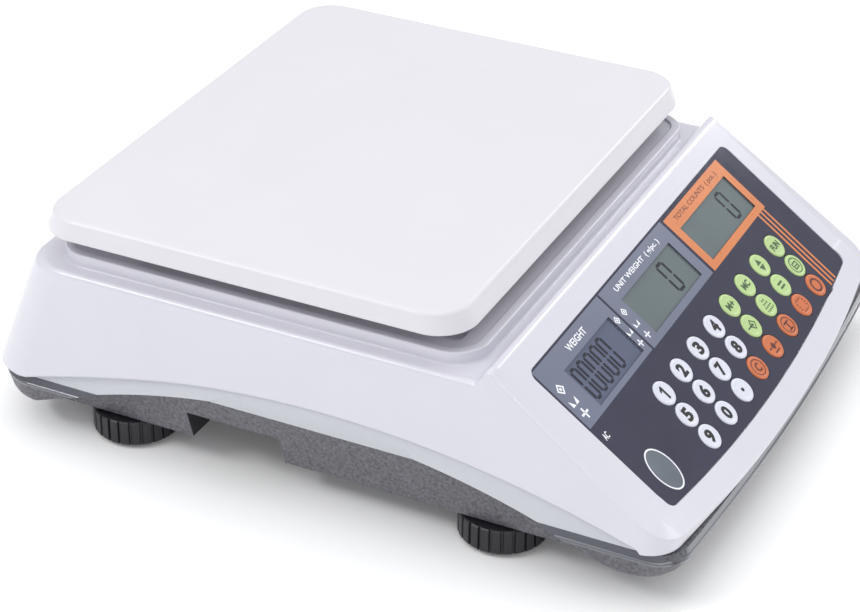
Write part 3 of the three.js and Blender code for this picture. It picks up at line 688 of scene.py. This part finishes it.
def arch_side(arch, floor_z, lift, steps=60):
    """Side-view outline of everything below an arch."""
    chord = math.sqrt(arch["radius"] ** 2 - (arch["radius"] - arch["top"] + floor_z) ** 2)
    ys = [arch["y"] + chord * (1 - 2 * i / steps) for i in range(steps + 1)]
    far = ARCH_REACH
    below = [(-far, -10), (far, -10), (far, floor_z + lift)]
    return below + [(y, arch_z(arch, y) + lift) for y in ys] + [(-far, floor_z + lift)]


# hull levels: height, half width, and how far the front and the back lie inside the case's own
HULL_LEVELS = [
    (17.5, 149.0, 12.4, 7.4), (17.6, 150.2, 10.8, 6.2), (18.1, 151.3, 9.2, 5.2), (19.2, 152.2, 7.4, 4.4),
    (21.4, 153.0, 5.2, 3.6), (24.5, 153.6, 3.2, 3.0), (27.6, 154.1, 1.2, 2.4), (28.6, 154.5, 0.35, 2.1),
    (29.1, 154.7, 0.1, 1.9), (29.6, 154.62, 0.14, 1.95), (30.0, 154.4, 0.35, 2.15), (30.3, 154.05, 0.7, 2.5),
    (30.5, 153.6, 1.15, 2.95), (33.4, 152.5, 2.4, 4.0), (33.6, 152.2, 2.8, 4.2), (62, 151.4, 2.8, 11),
]
HOLLOW_LEVELS = [(21.5, 138, 19, 17), (33.4, 143.5, 9, 9), (53, 148.4, 8, 14), (70, 149.2, 8, 17)]


def inset_levels(levels):
    return [(z, half_width, FRONT + front, BACK - back) for z, half_width, front, back in levels]


def base_solid(name, verts, faces):
    return make_object(name, verts, faces, GREY_TEXTURED)


def base_hull():
    hull = base_loft("base_shell", inset_levels(HULL_LEVELS), BASE_BOW)
    boolean(hull, "DIFFERENCE", [base_loft("base_hollow", inset_levels(HOLLOW_LEVELS), BASE_BOW, 6)])
    below_seam = side_solid(arch_side(SEAM_ARCH, SEAM_Z, -GAP), -200, 200)
    boolean(hull, "INTERSECT", [base_solid("below_seam", *below_seam)])
    return hull


def base_details():
    """What is added inside the base, and what is cut out of it: grips, bosses, plinth and holes."""
    added, cuts = [], []
    wall = GRIP["wall"]
    for side in (-1, 1):
        inner, outer = sorted((side * GRIP["inner"], side * GRIP["outer"]))
        added.append(box_solid(inner, outer, GRIP["front"], GRIP["back"], GRIP["low"], GRIP["high"]))
        inner, outer = sorted((side * (GRIP["inner"] + wall), side * (HALF_WIDTH + 14)))
        front, back = GRIP["front"] + wall, GRIP["back"] - wall
        cuts.append(box_solid(inner, outer, front, back, 0, GRIP["high"] - wall))
    for name in CORNERS:
        foot = node_centre(f"foot_pad_{name}")
        added.append(post(foot[0], foot[1], FOOT_BOSS["radius"], BOSS_LOW, FOOT_BOSS["top"]))
        cuts.append(post(foot[0], foot[1], FOOT_BOSS["hole"], 0, THROUGH))
        screw = node_centre(f"housing_screw_{name}")
        added.append(post(screw[0], screw[1], SCREW_BOSS["radius"], BOSS_LOW, SCREW_BOSS["top"]))
        cuts.append(post(screw[0], screw[1], SCREW_BOSS["hole"], 0, THROUGH, 16))
        cuts.append(post(screw[0], screw[1], SCREW_BOSS["head"], 0, SCREW_BOSS["seat"], 24))
    added.append(box_solid(*CELL_PLINTH["x"], *CELL_PLINTH["y"], BOSS_LOW, CELL_PLINTH["top"]))
    for i in (1, 2):
        bolt = node_centre(f"load_cell_base_bolt_{i}")
        cuts.append(post(bolt[0], bolt[1], CELL_BOLT["hole"], 0, THROUGH, 20))
        cuts.append(post(bolt[0], bolt[1], CELL_BOLT["head"], 0, CELL_BOLT["seat"], 24))
    low, high = node_box("battery_cover")
    for reach, top in ((COVER["gap"], COVER["seat"]), (-COVER["ledge"], 30)):
        cuts.append(box_solid(low[0] - reach, high[0] + reach, low[1] - reach, high[1] + reach, 0, top))
    return added, cuts


def rim_wedge(side):
    """What is cut off one side so that its wall stands back under the rim arch."""
    outer, top = side * (HALF_WIDTH + 64), RIM_WALL["z"]
    outline = [(side * RIM_WALL["low"], 0), (outer, 0), (outer, top), (side * RIM_WALL["high"], top)]
    wedge = base_solid("wedge", *loft([[(x, y, z) for x, z in outline] for y in (-ARCH_REACH, ARCH_REACH)]))
    arch = side_solid(arch_side(RIM_ARCH, 0.5, 0), -230, 230)
    boolean(wedge, "INTERSECT", [base_solid("arch", *arch)])
    return wedge


def paint_base(mesh):
    """Gives the smooth rim, the ledge and the grip recesses their own material: the rim band's pale grey is
    painted light and the recesses' near-black is painted shade.
    """
    mesh.materials.clear()
    for mat in (GREY_TEXTURED, BAND_PAINTED_LIGHT, GREY_LEDGE, RECESS_PAINTED_SHADE):
        mesh.materials.append(mat)
    near = 0.5
    recess_x = (GRIP["inner"] + GRIP["wall"] - near, GRIP["outer"] - 0.2)
    recess_y = (GRIP["front"] + GRIP["wall"] - near, GRIP["back"] - GRIP["wall"] + near)
    recess_z = (18, GRIP["high"] - GRIP["wall"] + near)
    ledge_low, ledge_high = 28.5, 33.5
    for face in mesh.polygons:
        x, y, z = face.center / MM
        outside = abs(x) > 149.5 or y > 180 or y < -188
        gets_painted_shade = (recess_x[0] < abs(x) < recess_x[1] and recess_y[0] < y < recess_y[1]
                     and recess_z[0] < z < recess_z[1])
        face.material_index = 0
        # painted light: the rim band gets the pale grey that stands in for the light it catches
        if outside and z > ledge_high and abs(face.normal.z) < 0.3:
            face.material_index = 1
        elif outside and ledge_low < z < ledge_high and face.normal.z > -0.9:
            face.material_index = 2
        # painted shade: faces inside the grip recesses get the near-black that stands in for their shade
        elif gets_painted_shade:
            face.material_index = 3


def build_base():
    hull = base_hull()
    added, cuts = base_details()
    boolean(hull, "UNION", [base_solid(f"grip_{i}", v, f) for i, (v, f) in enumerate(added)])
    for side in (-1, 1):
        boolean(hull, "DIFFERENCE", [rim_wedge(side)])
    boolean(hull, "DIFFERENCE", [base_solid(f"hole_{i}", v, f) for i, (v, f) in enumerate(cuts)])
    paint_base(hull.data)
    smooth(hull, 35)
    place(hull, "case", "grey_base", "base_housing")


# ---- weighing pan ----
def build_pan():
    low, high = node_box("weighing_pan")
    centre_y = (low[1] + high[1]) / 2
    half_x, half_y = (high[0] - low[0]) / 2, (high[1] - low[1]) / 2
    bottom, top = low[2], high[2]
    shoulder = top - PAN_ARRIS
    # from the underside of the sheet, down inside the skirt, round its lower edge and up to the top
    section = [(-12.0, top - 3.5), (-6.2, top - 3.6), (-5.2, top - 4.8), (-3.5, bottom + 0.6),
               (-3.1, bottom + 0.1), (-2.6, bottom), (-0.8, bottom), (-0.35, bottom + 0.15),
               (-0.08, bottom + 0.5), (0.0, bottom + 1.0), (-0.12, bottom + 2.4), (-0.45, bottom + 5.0)]
    section += [(-0.8 - PAN_ARRIS * (1 - math.cos(a)), shoulder + PAN_ARRIS * math.sin(a))
                for a in quarter(8)]
    section += [(-8.0, top), (-16.0, top)]
    lean_from = 1.0
    rings = []
    for offset, z in section:
        rise = min(1.0, max(0.0, (z - bottom - lean_from) / (shoulder - bottom - lean_from)))
        lean = PAN_END_LEAN * rise
        outline = rounded_rect(-half_x - offset, half_x + offset, centre_y - half_y - offset + lean,
                               centre_y + half_y + offset - lean, PAN_CORNER + offset, 14)
        rings.append([(x, y, z) for x, y in outline])
    pan = make_object("pan_top", *loft(rings), WHITE_PAN)
    smooth(pan, 40)
    place(pan, "pan", "white_pan", "weighing_pan")


# ---- levelling feet ----
KNOB_TOP = 16.5
KNOB_RIBS = 24
# one rib: angle as a share of the rib spacing, and depth below the rib's crest
RIB_SECTION = [(-0.42, 1.3), (-0.37, 0.3), (-0.33, 0.05), (-0.28, 0.0),
               (0.28, 0.0), (0.33, 0.05), (0.37, 0.3), (0.42, 1.3)]
PITCH = 1.25  # of the stud's thread
THREAD_SECTION = [(0.0, 3.45), (0.35, 3.9), (0.6, 3.9), (0.95, 3.45)]  # height within a turn, and radius


def build_foot(name):
    low, high = node_box(f"foot_knob_{name}")
    cx, cy = (low[0] + high[0]) / 2, (low[1] + high[1]) / 2
    radius = (high[0] - low[0]) / 2
    bottom, top = low[2], KNOB_TOP
    edge = [(0, 1.6), (0.2, 0.8), (0.8, 0.2), (1.6, 0.0)]  # rise from the knob's face, and inset there
    levels = [(bottom + rise, inset) for rise, inset in edge]
    levels += [(top - rise, inset) for rise, inset in reversed(edge)]
    rings = []
    for z, inset in levels:
        ring = []
        for i in range(KNOB_RIBS):
            for turn, depth in RIB_SECTION:
                a = (i + turn) * 2 * math.pi / KNOB_RIBS
                r = radius - max(depth, inset)
                ring.append((cx + r * math.cos(a), cy + r * math.sin(a), z))
        rings.append(ring)
    # threaded stud above the knob
    thread = []
    z = top - 1
    while z < high[2] - PITCH:
        for dz, r in THREAD_SECTION:
            thread.append([(cx + a, cy + b, z + dz) for a, b in circle_points(0, 0, r, 24)])
        z += PITCH
    knob = make_object(f"knob_{name}", *joined(loft(rings), loft(thread)), KNOB_BLACK)
    smooth(knob, 28)
    place(knob, f"foot_knob_{name}", "knob_plastic", f"foot_knob_{name}")


# ---- load cell ----
def build_load_cell():
    """The cell's block, copied from its CAD node."""
    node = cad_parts["load_cell"]
    cell = bpy.data.objects.new("cell_block", node.data.copy())
    scene.collection.objects.link(cell)
    cell.matrix_world = node.matrix_world.copy()
    cell.data.materials.clear()
    cell.data.materials.append(ALUMINIUM)
    smooth(cell, 30)
    place(cell, "case", "machined_cell", "load_cell")
    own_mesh(cell)


# ---- printing and keys ----
def text_solid(text, width, height, u, v, low, high, thicken=0.0):
    """Lettering as a closed plate in the console's plane, fitted to a width and a height."""
    curve = bpy.data.curves.new("lettering", "FONT")
    curve.body = text
    curve.extrude = 0.1
    curve.offset = thicken
    curve.resolution_u = 3
    holder = bpy.data.objects.new("lettering", curve)
    scene.collection.objects.link(holder)
    graph = bpy.context.evaluated_depsgraph_get()
    mesh = bpy.data.meshes.new_from_object(holder.evaluated_get(graph))
    bpy.data.objects.remove(holder)
    bm = bmesh.new()
    bm.from_mesh(mesh)
    bmesh.ops.remove_doubles(bm, verts=bm.verts, dist=1e-5)
    xs, ys, zs = zip(*(v.co for v in bm.verts))
    scale_x, scale_y = width / (max(xs) - min(xs)), height / (max(ys) - min(ys))
    mid_x, mid_y, mid_z = ((max(along) + min(along)) / 2 for along in (xs, ys, zs))
    verts = []
    for vert in bm.verts:
        x, y, z = vert.co
        level = high if z > mid_z else low
        verts.append(console_point(u + (x - mid_x) * scale_x, v + (y - mid_y) * scale_y, level))
    faces = [tuple(p.index for p in f.verts) for f in bm.faces]
    bm.free()
    bpy.data.meshes.remove(mesh)
    return verts, faces


def disc_outline(u, v, radius, steps=24):
    return ellipse_outline(u, v, radius, radius, steps)


def ellipse_outline(u, v, ru, rv, steps):
    angles = [2 * math.pi * i / steps for i in range(steps)]
    return [(u + ru * math.cos(a), v + rv * math.sin(a)) for a in angles]


def bar(u0, v0, u1, v1, width):
    """Straight stroke as an outline."""
    along = Vector((u1 - u0, v1 - v0)).normalized() * (width / 2)
    across = Vector((-along.y, along.x))
    near_side = [(u0 - across.x, v0 - across.y), (u1 - across.x, v1 - across.y)]
    return near_side + [(u1 + across.x, v1 + across.y), (u0 + across.x, v0 + across.y)]


def numeral_one(u, v, height=7.8, stem=1.6, flag=1.7):
    """The digit 1: an upright stem with a slanted flag at its top left."""
    right, top = u + stem / 2 + 0.3, v + height / 2
    left = right - stem
    return [(right, top - height), (right, top), (left + 0.4, top), (left - flag, top - 1.6),
            (left - flag, top - 3.2), (left, top - 2.1), (left, top - height)]


LEGENDS = {f"key_{digit}": str(digit) for digit in range(10)}
LEGENDS.update(key_memory_add="M+", key_memory_clear="MC", key_function="FUN")
GREEN_KEYS = ("key_memory_add", "key_memory_clear", "key_up_down", "key_function",
              "key_store", "key_sample", "key_equals", "key_box")
ORANGE_KEYS = ("key_clear", "key_zero", "key_tare", "key_light", "key_power")


def legend_parts(name, u, v, low, high):
    """The sign printed on a key, as solids."""
    def slab(outline):
        return console_slab(outline, low, high)

    def ring(radius, width):
        return console_frame(disc_outline(u, v, radius), disc_outline(u, v, radius - width), low, high)

    def diamond(cu, cv, size):
        return [(cu - size, cv), (cu, cv - size), (cu + size, cv), (cu, cv + size)]

    if name in LEGENDS:
        text = LEGENDS[name]
        if text == "1":
            return [slab(numeral_one(u, v))]
        if len(text) == 1:
            return [text_solid(text, 5.6, 7.8, u, v, low, high, 0.05)]
        return [text_solid(text, 7.8 if len(text) == 2 else 8.8, 4.2, u, v, low, high, 0.045)]
    if name == "key_point":
        return [slab(disc_outline(u, v, 1.15, 16))]
    if name == "key_up_down":
        return [slab([(u - 2.6, v + 0.5), (u + 2.6, v + 0.5), (u, v + 4.2)]),
                slab([(u, v - 4.2), (u + 2.6, v - 0.5), (u - 2.6, v - 0.5)])]
    if name == "key_store":
        outer, inner = diamond(u + 1.2, v, 3.3), diamond(u + 1.2, v, 2.3)
        return [console_frame(outer, inner, low, high), slab(bar(u - 5, v, u + 0.4, v, 0.8)),
                slab([(u + 0.2, v - 1.4), (u + 2.2, v), (u + 0.2, v + 1.4)])]
    if name == "key_sample":
        rows = [(-3.1, 5), (-1.0, 4), (1.1, 3), (3.2, 2)]
        dots = [(u + (i - (n - 1) / 2) * 1.9, v + dv) for dv, n in rows for i in range(n)]
        return [slab(disc_outline(du, dv, 0.62, 10)) for du, dv in dots]
    if name == "key_equals":
        return [slab(bar(u - 2.7, v + dv, u + 2.7, v + dv, 1.2)) for dv in (1.3, -1.3)]
    if name == "key_box":
        outer, inner = rect(u - 2.6, u + 2.6, v - 2.2, v + 2.2), rect(u - 1.8, u + 1.8, v - 1.4, v + 1.4)
        return [ring(5.0, 0.7), console_frame(outer, inner, low, high),
                slab(bar(u - 2.2, v - 0.2, u + 2.2, v - 0.2, 0.7))]
    if name == "key_clear":
        return [ring(5.1, 0.7), text_solid("C", 4.2, 5.2, u, v, low, high, 0.03)]
    if name == "key_zero":
        return [slab(diamond(u, v, 2.3)), slab(bar(u - 5, v, u - 2.7, v, 0.9)),
                slab(bar(u + 2.7, v, u + 5, v, 0.9)), slab(bar(u - 2.6, v - 3.4, u + 2.6, v - 3.4, 0.8))]
    if name == "key_tare":
        return [ring(5.1, 0.7), slab(bar(u - 2.6, v + 1.8, u + 2.6, v + 1.8, 1.0)),
                slab(bar(u, v + 1.6, u, v - 3, 1.1)), slab(bar(u - 2.2, v - 2.8, u + 2.2, v - 2.8, 0.8))]
    if name == "key_light":
        steps = [(i, j) for i in range(5) for j in range(5) if i in (0, 4) or j in (0, 4)]
        return [slab(disc_outline(u + (i - 2) * 1.8, v + (j - 2) * 1.8, 0.5, 8)) for i, j in steps]
    return [ring(4.4, 1.3)]


def build_key(name):
    u, v = KEY_UV[name]
    low, high = node_box(name)
    radius = (high[0] - low[0]) / 2
    floor, face = -1.9, 0.1
    section = [(radius - 0.3, floor), (radius, floor + 0.3), (radius, -0.35), (radius - 0.15, -0.05),
               (radius - 0.5, 0.16), (radius - 0.95, 0.27), (radius - 1.3, KEY_FACE - 0.01),
               (radius - 1.6, 0.27), (radius - 1.95, 0.16), (radius - 2.4, face)]
    rings = [[console_point(a, b, n) for a, b in disc_outline(u, v, r, 40)] for r, n in section]
    cap_material, ink, slot_name = key_finish(name)
    cap = make_object(f"cap_{name}", *loft(rings), cap_material)
    smooth(cap, 50)
    place(cap, name, slot_name, name)
    legend = make_object(f"legend_{name}", *joined(*legend_parts(name, u, v, face - 0.05, face + 0.05)), ink)
    place(legend, name, slot_name)


def key_finish(name):
    """Material of a key's cap, of its sign, and the name of its slot."""
    if name in GREEN_KEYS:
        return KEY_GREEN, INK_GREEN, "green_key"
    if name in ORANGE_KEYS:
        return KEY_ORANGE, INK_MAROON, "orange_key"
    return KEY_WHITE, INK_BLACK, "white_key"


PRINT_LOW, PRINT_HIGH = FOIL["face"] - 0.05, FOIL["face"] + 0.04


def console_print(name, parts, mat, slot_name="console_foil"):
    obj = make_object(name, *joined(*parts), mat)
    place(obj, "case", slot_name)


def framed(outer, window, low, high):
    """Printed block around a display window; both are (u0, u1, v0, v1)."""
    return console_frame(rect(*outer), rect(*window), low, high)


def display_zero(u, v, width, height, stroke, low, high):
    """A zero made of display strokes, centred on (u, v)."""
    w, h, s, gap = width / 2, height / 2, stroke, 0.25

    def across(cv):
        return [(u - w + gap + s / 2, cv), (u - w + gap + s, cv - s / 2), (u + w - gap - s, cv - s / 2),
                (u + w - gap - s / 2, cv), (u + w - gap - s, cv + s / 2), (u - w + gap + s, cv + s / 2)]

    def upright(cu, v0, v1):
        return [(cu, v0 + gap), (cu + s / 2, v0 + gap + s / 2), (cu + s / 2, v1 - gap - s / 2),
                (cu, v1 - gap), (cu - s / 2, v1 - gap - s / 2), (cu - s / 2, v0 + gap + s / 2)]

    top, bottom = v + h - s / 2, v - h + s / 2
    left, right = u - w + s / 2, u + w - s / 2
    strokes = [across(top), upright(right, v, top), upright(right, bottom, v), across(bottom),
               upright(left, bottom, v), upright(left, v, top)]
    return [console_slab(outline, low, high) for outline in strokes]


LCD_LOW, LCD_HIGH = -1.22, -1.12  # the display's strokes lie between these
LABEL_HEIGHT = 3.9
BADGE = {"centre": (-113.0, -21.7), "edge": (8.8, 12.5), "inner": (8.0, 11.6), "field": (7.95, 11.55)}
MARK_HEIGHTS = (40.5, 32.0, 24.5)


def build_displays():
    """Printed blocks round the three windows, and the strokes the displays show."""
    weight, unit, total = (DISPLAYS[name] for name in ("weight", "unit_weight", "total"))
    low, high = PRINT_LOW, PRINT_HIGH
    console_print("print_blocks", [framed((-129.4, -50.4, 17.8, 56), weight, low, high),
                                   framed((-48.6, 34.5, 17.4, 56), unit, low, high)], PRINT_GREY)
    console_print("print_total_frame", [framed((37, 115, 17.2, 54.7), total, low, high)], PRINT_ORANGE)

    def show(name, window, starts, width, height, stroke):
        middle = (window[2] + window[3]) / 2
        strokes = []
        for start in starts:
            strokes += display_zero(window[0] + start, middle, width, height, stroke, LCD_LOW, LCD_HIGH)
        console_print(name, strokes, LCD_SEGMENT, "display_glass")

    show("digits_weight", weight, [5.5 + 7.7 * i for i in range(5)], 6.4, 20.0, 1.7)
    show("digits_unit", unit, [44.8], 8.4, 19, 1.8)
    show("digits_total", total, [48.7], 8.2, 19, 1.8)


def build_labels():
    def label(text, width, u, v):
        return text_solid(text, width, LABEL_HEIGHT, u, v, PRINT_HIGH - 0.02, PRINT_HIGH + 0.03, 0.02)

    white = [label("WEIGHT", 21, -87, 50.2), label("UNIT WEIGHT  ( g/pc. )", 57, -7.5, 50.4)]
    console_print("labels_white", white, PRINT_WHITE)
    console_print("labels_total", [label("TOTAL COUNTS  ( pcs. )", 59, 75.5, 50.1)], PRINT_RUST)


def build_console():
    low, high = PRINT_LOW, PRINT_HIGH
    build_displays()
    build_labels()
    stripes = []
    for u in (104.4, 108.2, 112.0):
        foot = FOIL["low"] + (FOIL["bow"] - math.sqrt(FOIL["bow"] ** 2 - u * u)) + 0.6
        stripes.append(console_slab(rect(u - 0.8, u + 0.8, foot, 17.2), low, high))
    console_print("print_stripes", stripes, PRINT_ORANGE)
    edge, inner, field = (ellipse_outline(*BADGE["centre"], *BADGE[k], 48)
                          for k in ("edge", "inner", "field"))
    console_print("badge_edge", [console_frame(edge, inner, low, high + 0.05)], PRINT_WHITE)
    console_print("badge_field", [console_slab(field, low, high)], BADGE_GREY)
    marks = [text_solid("AC", 4.4, 3.8, -125.0, 10.0, low, high, 0.02)]
    marks += icon_column(-123.2, MARK_HEIGHTS, high, 1.35)
    console_print("print_marks", marks, PRINT_WHITE)
    side_marks = icon_column(-53.2, MARK_HEIGHTS, high) + icon_column(-44.2, MARK_HEIGHTS, high)
    console_print("print_side_marks", side_marks, PRINT_WHITE)


def icon_column(u, heights, level, size=1.0):
    """Three small indicator marks: a hollow diamond, a pair of triangles and a cross."""
    low, high = level - 0.02, level + 0.03
    a, b, c = heights

    def mark(cv, points):
        return [(u + x * size, cv + y * size) for x, y in points]

    outer = mark(a, [(-2.4, 0), (0, -2.4), (2.4, 0), (0, 2.4)])
    inner = mark(a, [(-1.5, 0), (0, -1.5), (1.5, 0), (0, 1.5)])
    return [
        console_frame(outer, inner, low, high),
        console_slab(mark(a, [(-0.6, -0.6), (0.6, -0.6), (0.6, 0.6), (-0.6, 0.6)]), low, high),
        console_slab(mark(b, [(-2.4, -1.5), (-0.2, -1.5), (-2.4, 1.5)]), low, high),
        console_slab(mark(b, [(0.2, -1.5), (2.4, -1.5), (2.4, 1.5)]), low, high),
        console_slab(mark(c, [(-2.4, -0.45), (2.4, -0.45), (2.4, 0.45), (-2.4, 0.45)]), low, high),
        console_slab(mark(c, [(-0.45, -2.2), (0.45, -2.2), (0.45, 2.2), (-0.45, 2.2)]), low, high),
    ]


# ---- finishes of the pieces that keep their CAD shape ----
def finish_cad_nodes():
    exact = {
        "keypad_overlay": (FOIL_SLATE, "console_foil"), "keypad_circuit": (SHEET, "switch_sheet"),
        "main_board": (CIRCUIT, "circuit_board"), "lcd_weight": (LCD_BLUE, "display_glass"),
        "lcd_unit_weight": (LCD_GLASS, "display_glass"), "lcd_total": (LCD_GLASS, "display_glass"),
        "pan_support": (CAST, "cast_support"), "battery": (BATTERY, "battery_case"),
        "battery_cover": (GREY_TEXTURED, "grey_base"), "power_switch_body": (BLACK_ABS, "black_plastic"),
        "power_rocker": (BLACK_ABS, "black_plastic"), "dc_inlet": (BLACK_ABS, "black_plastic"),
    }
    starts = {
        "pan_cushion": (RUBBER, "rubber"), "foot_pad": (RUBBER, "rubber"),
        "load_cell_base_bolt": (STEEL, "screw_steel"), "load_cell_top_bolt": (STEEL, "screw_steel"),
        "housing_screw": (STEEL, "screw_steel"),
    }
    for name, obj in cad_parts.items():
        if obj.hide_render:
            continue
        pick = exact.get(name) or next((v for k, v in starts.items() if name.startswith(k)), None)
        if pick is None:
            raise RuntimeError(f"no finish for {name}")
        obj.data.materials.clear()
        obj.data.materials.append(pick[0])


# ---- floor, light and camera, in metres ----
FLOOR_HALF = 4.0
# lamps: name, place, what it points at, width, height, watts
LAMPS = [
    ("left_strip", (-1.2, 1.05, 1.5), (0, 0, 0.05), 0.9, 0.25, 9.0),
    ("right_strip", (1.5, -0.45, 0.95), (0, 0, 0.05), 0.25, 0.7, 4.0),
    ("front_right_box", (0.9, -1.35, 0.62), (0, -0.1, 0.05), 0.8, 0.8, 3.6),
    ("front_left_lamp", (-1.0, -0.75, 1.05), (0, -0.1, 0.05), 0.3, 0.3, 1.4),
]
SUN = {"energy": 0.85, "angle": 70, "direction": (0.12, -0.1, -0.98)}
WORLD = {"horizon": 0.42, "zenith": 0.88, "colour": (0.97, 0.98, 1.0, 1.0)}
# heading is turned from +X towards +Y, down is below the horizon, tilt leans the picture; all in degrees
CAMERA = {"place": (-1.02162, -0.48103, 0.71837), "heading": 25.3856, "down": 31.0142, "tilt": 0.6777,
          "sensor": 36, "lens": 102.43, "shift": -0.0188}


def area_light(name, location, target, width, height, power):
    data = bpy.data.lights.new(name, "AREA")
    data.shape = "RECTANGLE"
    data.size = width
    data.size_y = height
    data.energy = power
    obj = bpy.data.objects.new(name, data)
    scene.collection.objects.link(obj)
    obj.location = location
    obj.rotation_mode = "QUATERNION"
    obj.rotation_quaternion = (Vector(target) - Vector(location)).to_track_quat("-Z", "Y")


def build_floor():
    size = FLOOR_HALF
    mesh = bpy.data.meshes.new("floor")
    corners = [(x, y, 0) for x, y in rect(-size, size, -size, size)]
    mesh.from_pydata(corners, [], [(0, 1, 2, 3)])
    floor = bpy.data.objects.new("floor", mesh)
    scene.collection.objects.link(floor)
    floor_white = material("floor_white", (252, 252, 252), 0.7, grain=3.0, depth=0.01, tint=0.002)
    shader = floor_white.node_tree.nodes["Principled BSDF"]
    shader.inputs["Emission Color"].default_value = (1, 1, 1, 1)
    shader.inputs["Emission Strength"].default_value = 0.06
    mesh.materials.append(floor_white)


def build_sun():
    sun = bpy.data.lights.new("sun", "SUN")
    sun.energy = SUN["energy"]
    sun.angle = math.radians(SUN["angle"])
    lamp = bpy.data.objects.new("sun", sun)
    scene.collection.objects.link(lamp)
    lamp.rotation_mode = "QUATERNION"
    lamp.rotation_quaternion = Vector(SUN["direction"]).to_track_quat("-Z", "Y")


def build_stage():
    build_floor()
    build_world()
    build_sun()
    for lamp in LAMPS:
        area_light(*lamp)
    scene.view_settings.view_transform = "Standard"
    scene.view_settings.look = "None"


def build_world():
    """White studio that is brightest overhead and dimmer towards the horizon."""
    world = bpy.data.worlds.new("studio")
    scene.world = world
    world.use_nodes = True
    nodes, links = world.node_tree.nodes, world.node_tree.links
    where = nodes.new("ShaderNodeTexCoord")
    split = nodes.new("ShaderNodeSeparateXYZ")
    links.new(where.outputs["Generated"], split.inputs[0])
    level = nodes.new("ShaderNodeMapRange")
    level.inputs["From Min"].default_value = 0.0
    level.inputs["From Max"].default_value = 1.0
    level.inputs["To Min"].default_value = WORLD["horizon"]
    level.inputs["To Max"].default_value = WORLD["zenith"]
    links.new(split.outputs["Z"], level.inputs["Value"])
    background = nodes["Background"]
    background.inputs["Color"].default_value = WORLD["colour"]
    links.new(level.outputs["Result"], background.inputs["Strength"])


def build_camera():
    heading, down, tilt = (math.radians(CAMERA[k]) for k in ("heading", "down", "tilt"))
    ahead = Vector((math.cos(down) * math.cos(heading), math.cos(down) * math.sin(heading), -math.sin(down)))
    level = Vector((math.sin(heading), -math.cos(heading), 0))
    right = level * math.cos(tilt) + level.cross(ahead) * math.sin(tilt)
    turn = Matrix((right, right.cross(ahead), -ahead)).transposed().to_4x4()
    data = bpy.data.cameras.new("camera")
    camera = bpy.data.objects.new("camera", data)
    scene.collection.objects.link(camera)
    camera.matrix_world = Matrix.Translation(CAMERA["place"]) @ turn
    data.sensor_width = CAMERA["sensor"]
    data.lens = CAMERA["lens"]
    data.shift_x = CAMERA["shift"]
    scene.camera = camera


build_upper_case()
build_base()
build_pan()
build_load_cell()
for corner_name in CORNERS:
    build_foot(corner_name)
for key_name in KEYS:
    build_key(key_name)
build_console()
finish_cad_nodes()
build_stage()
build_camera()
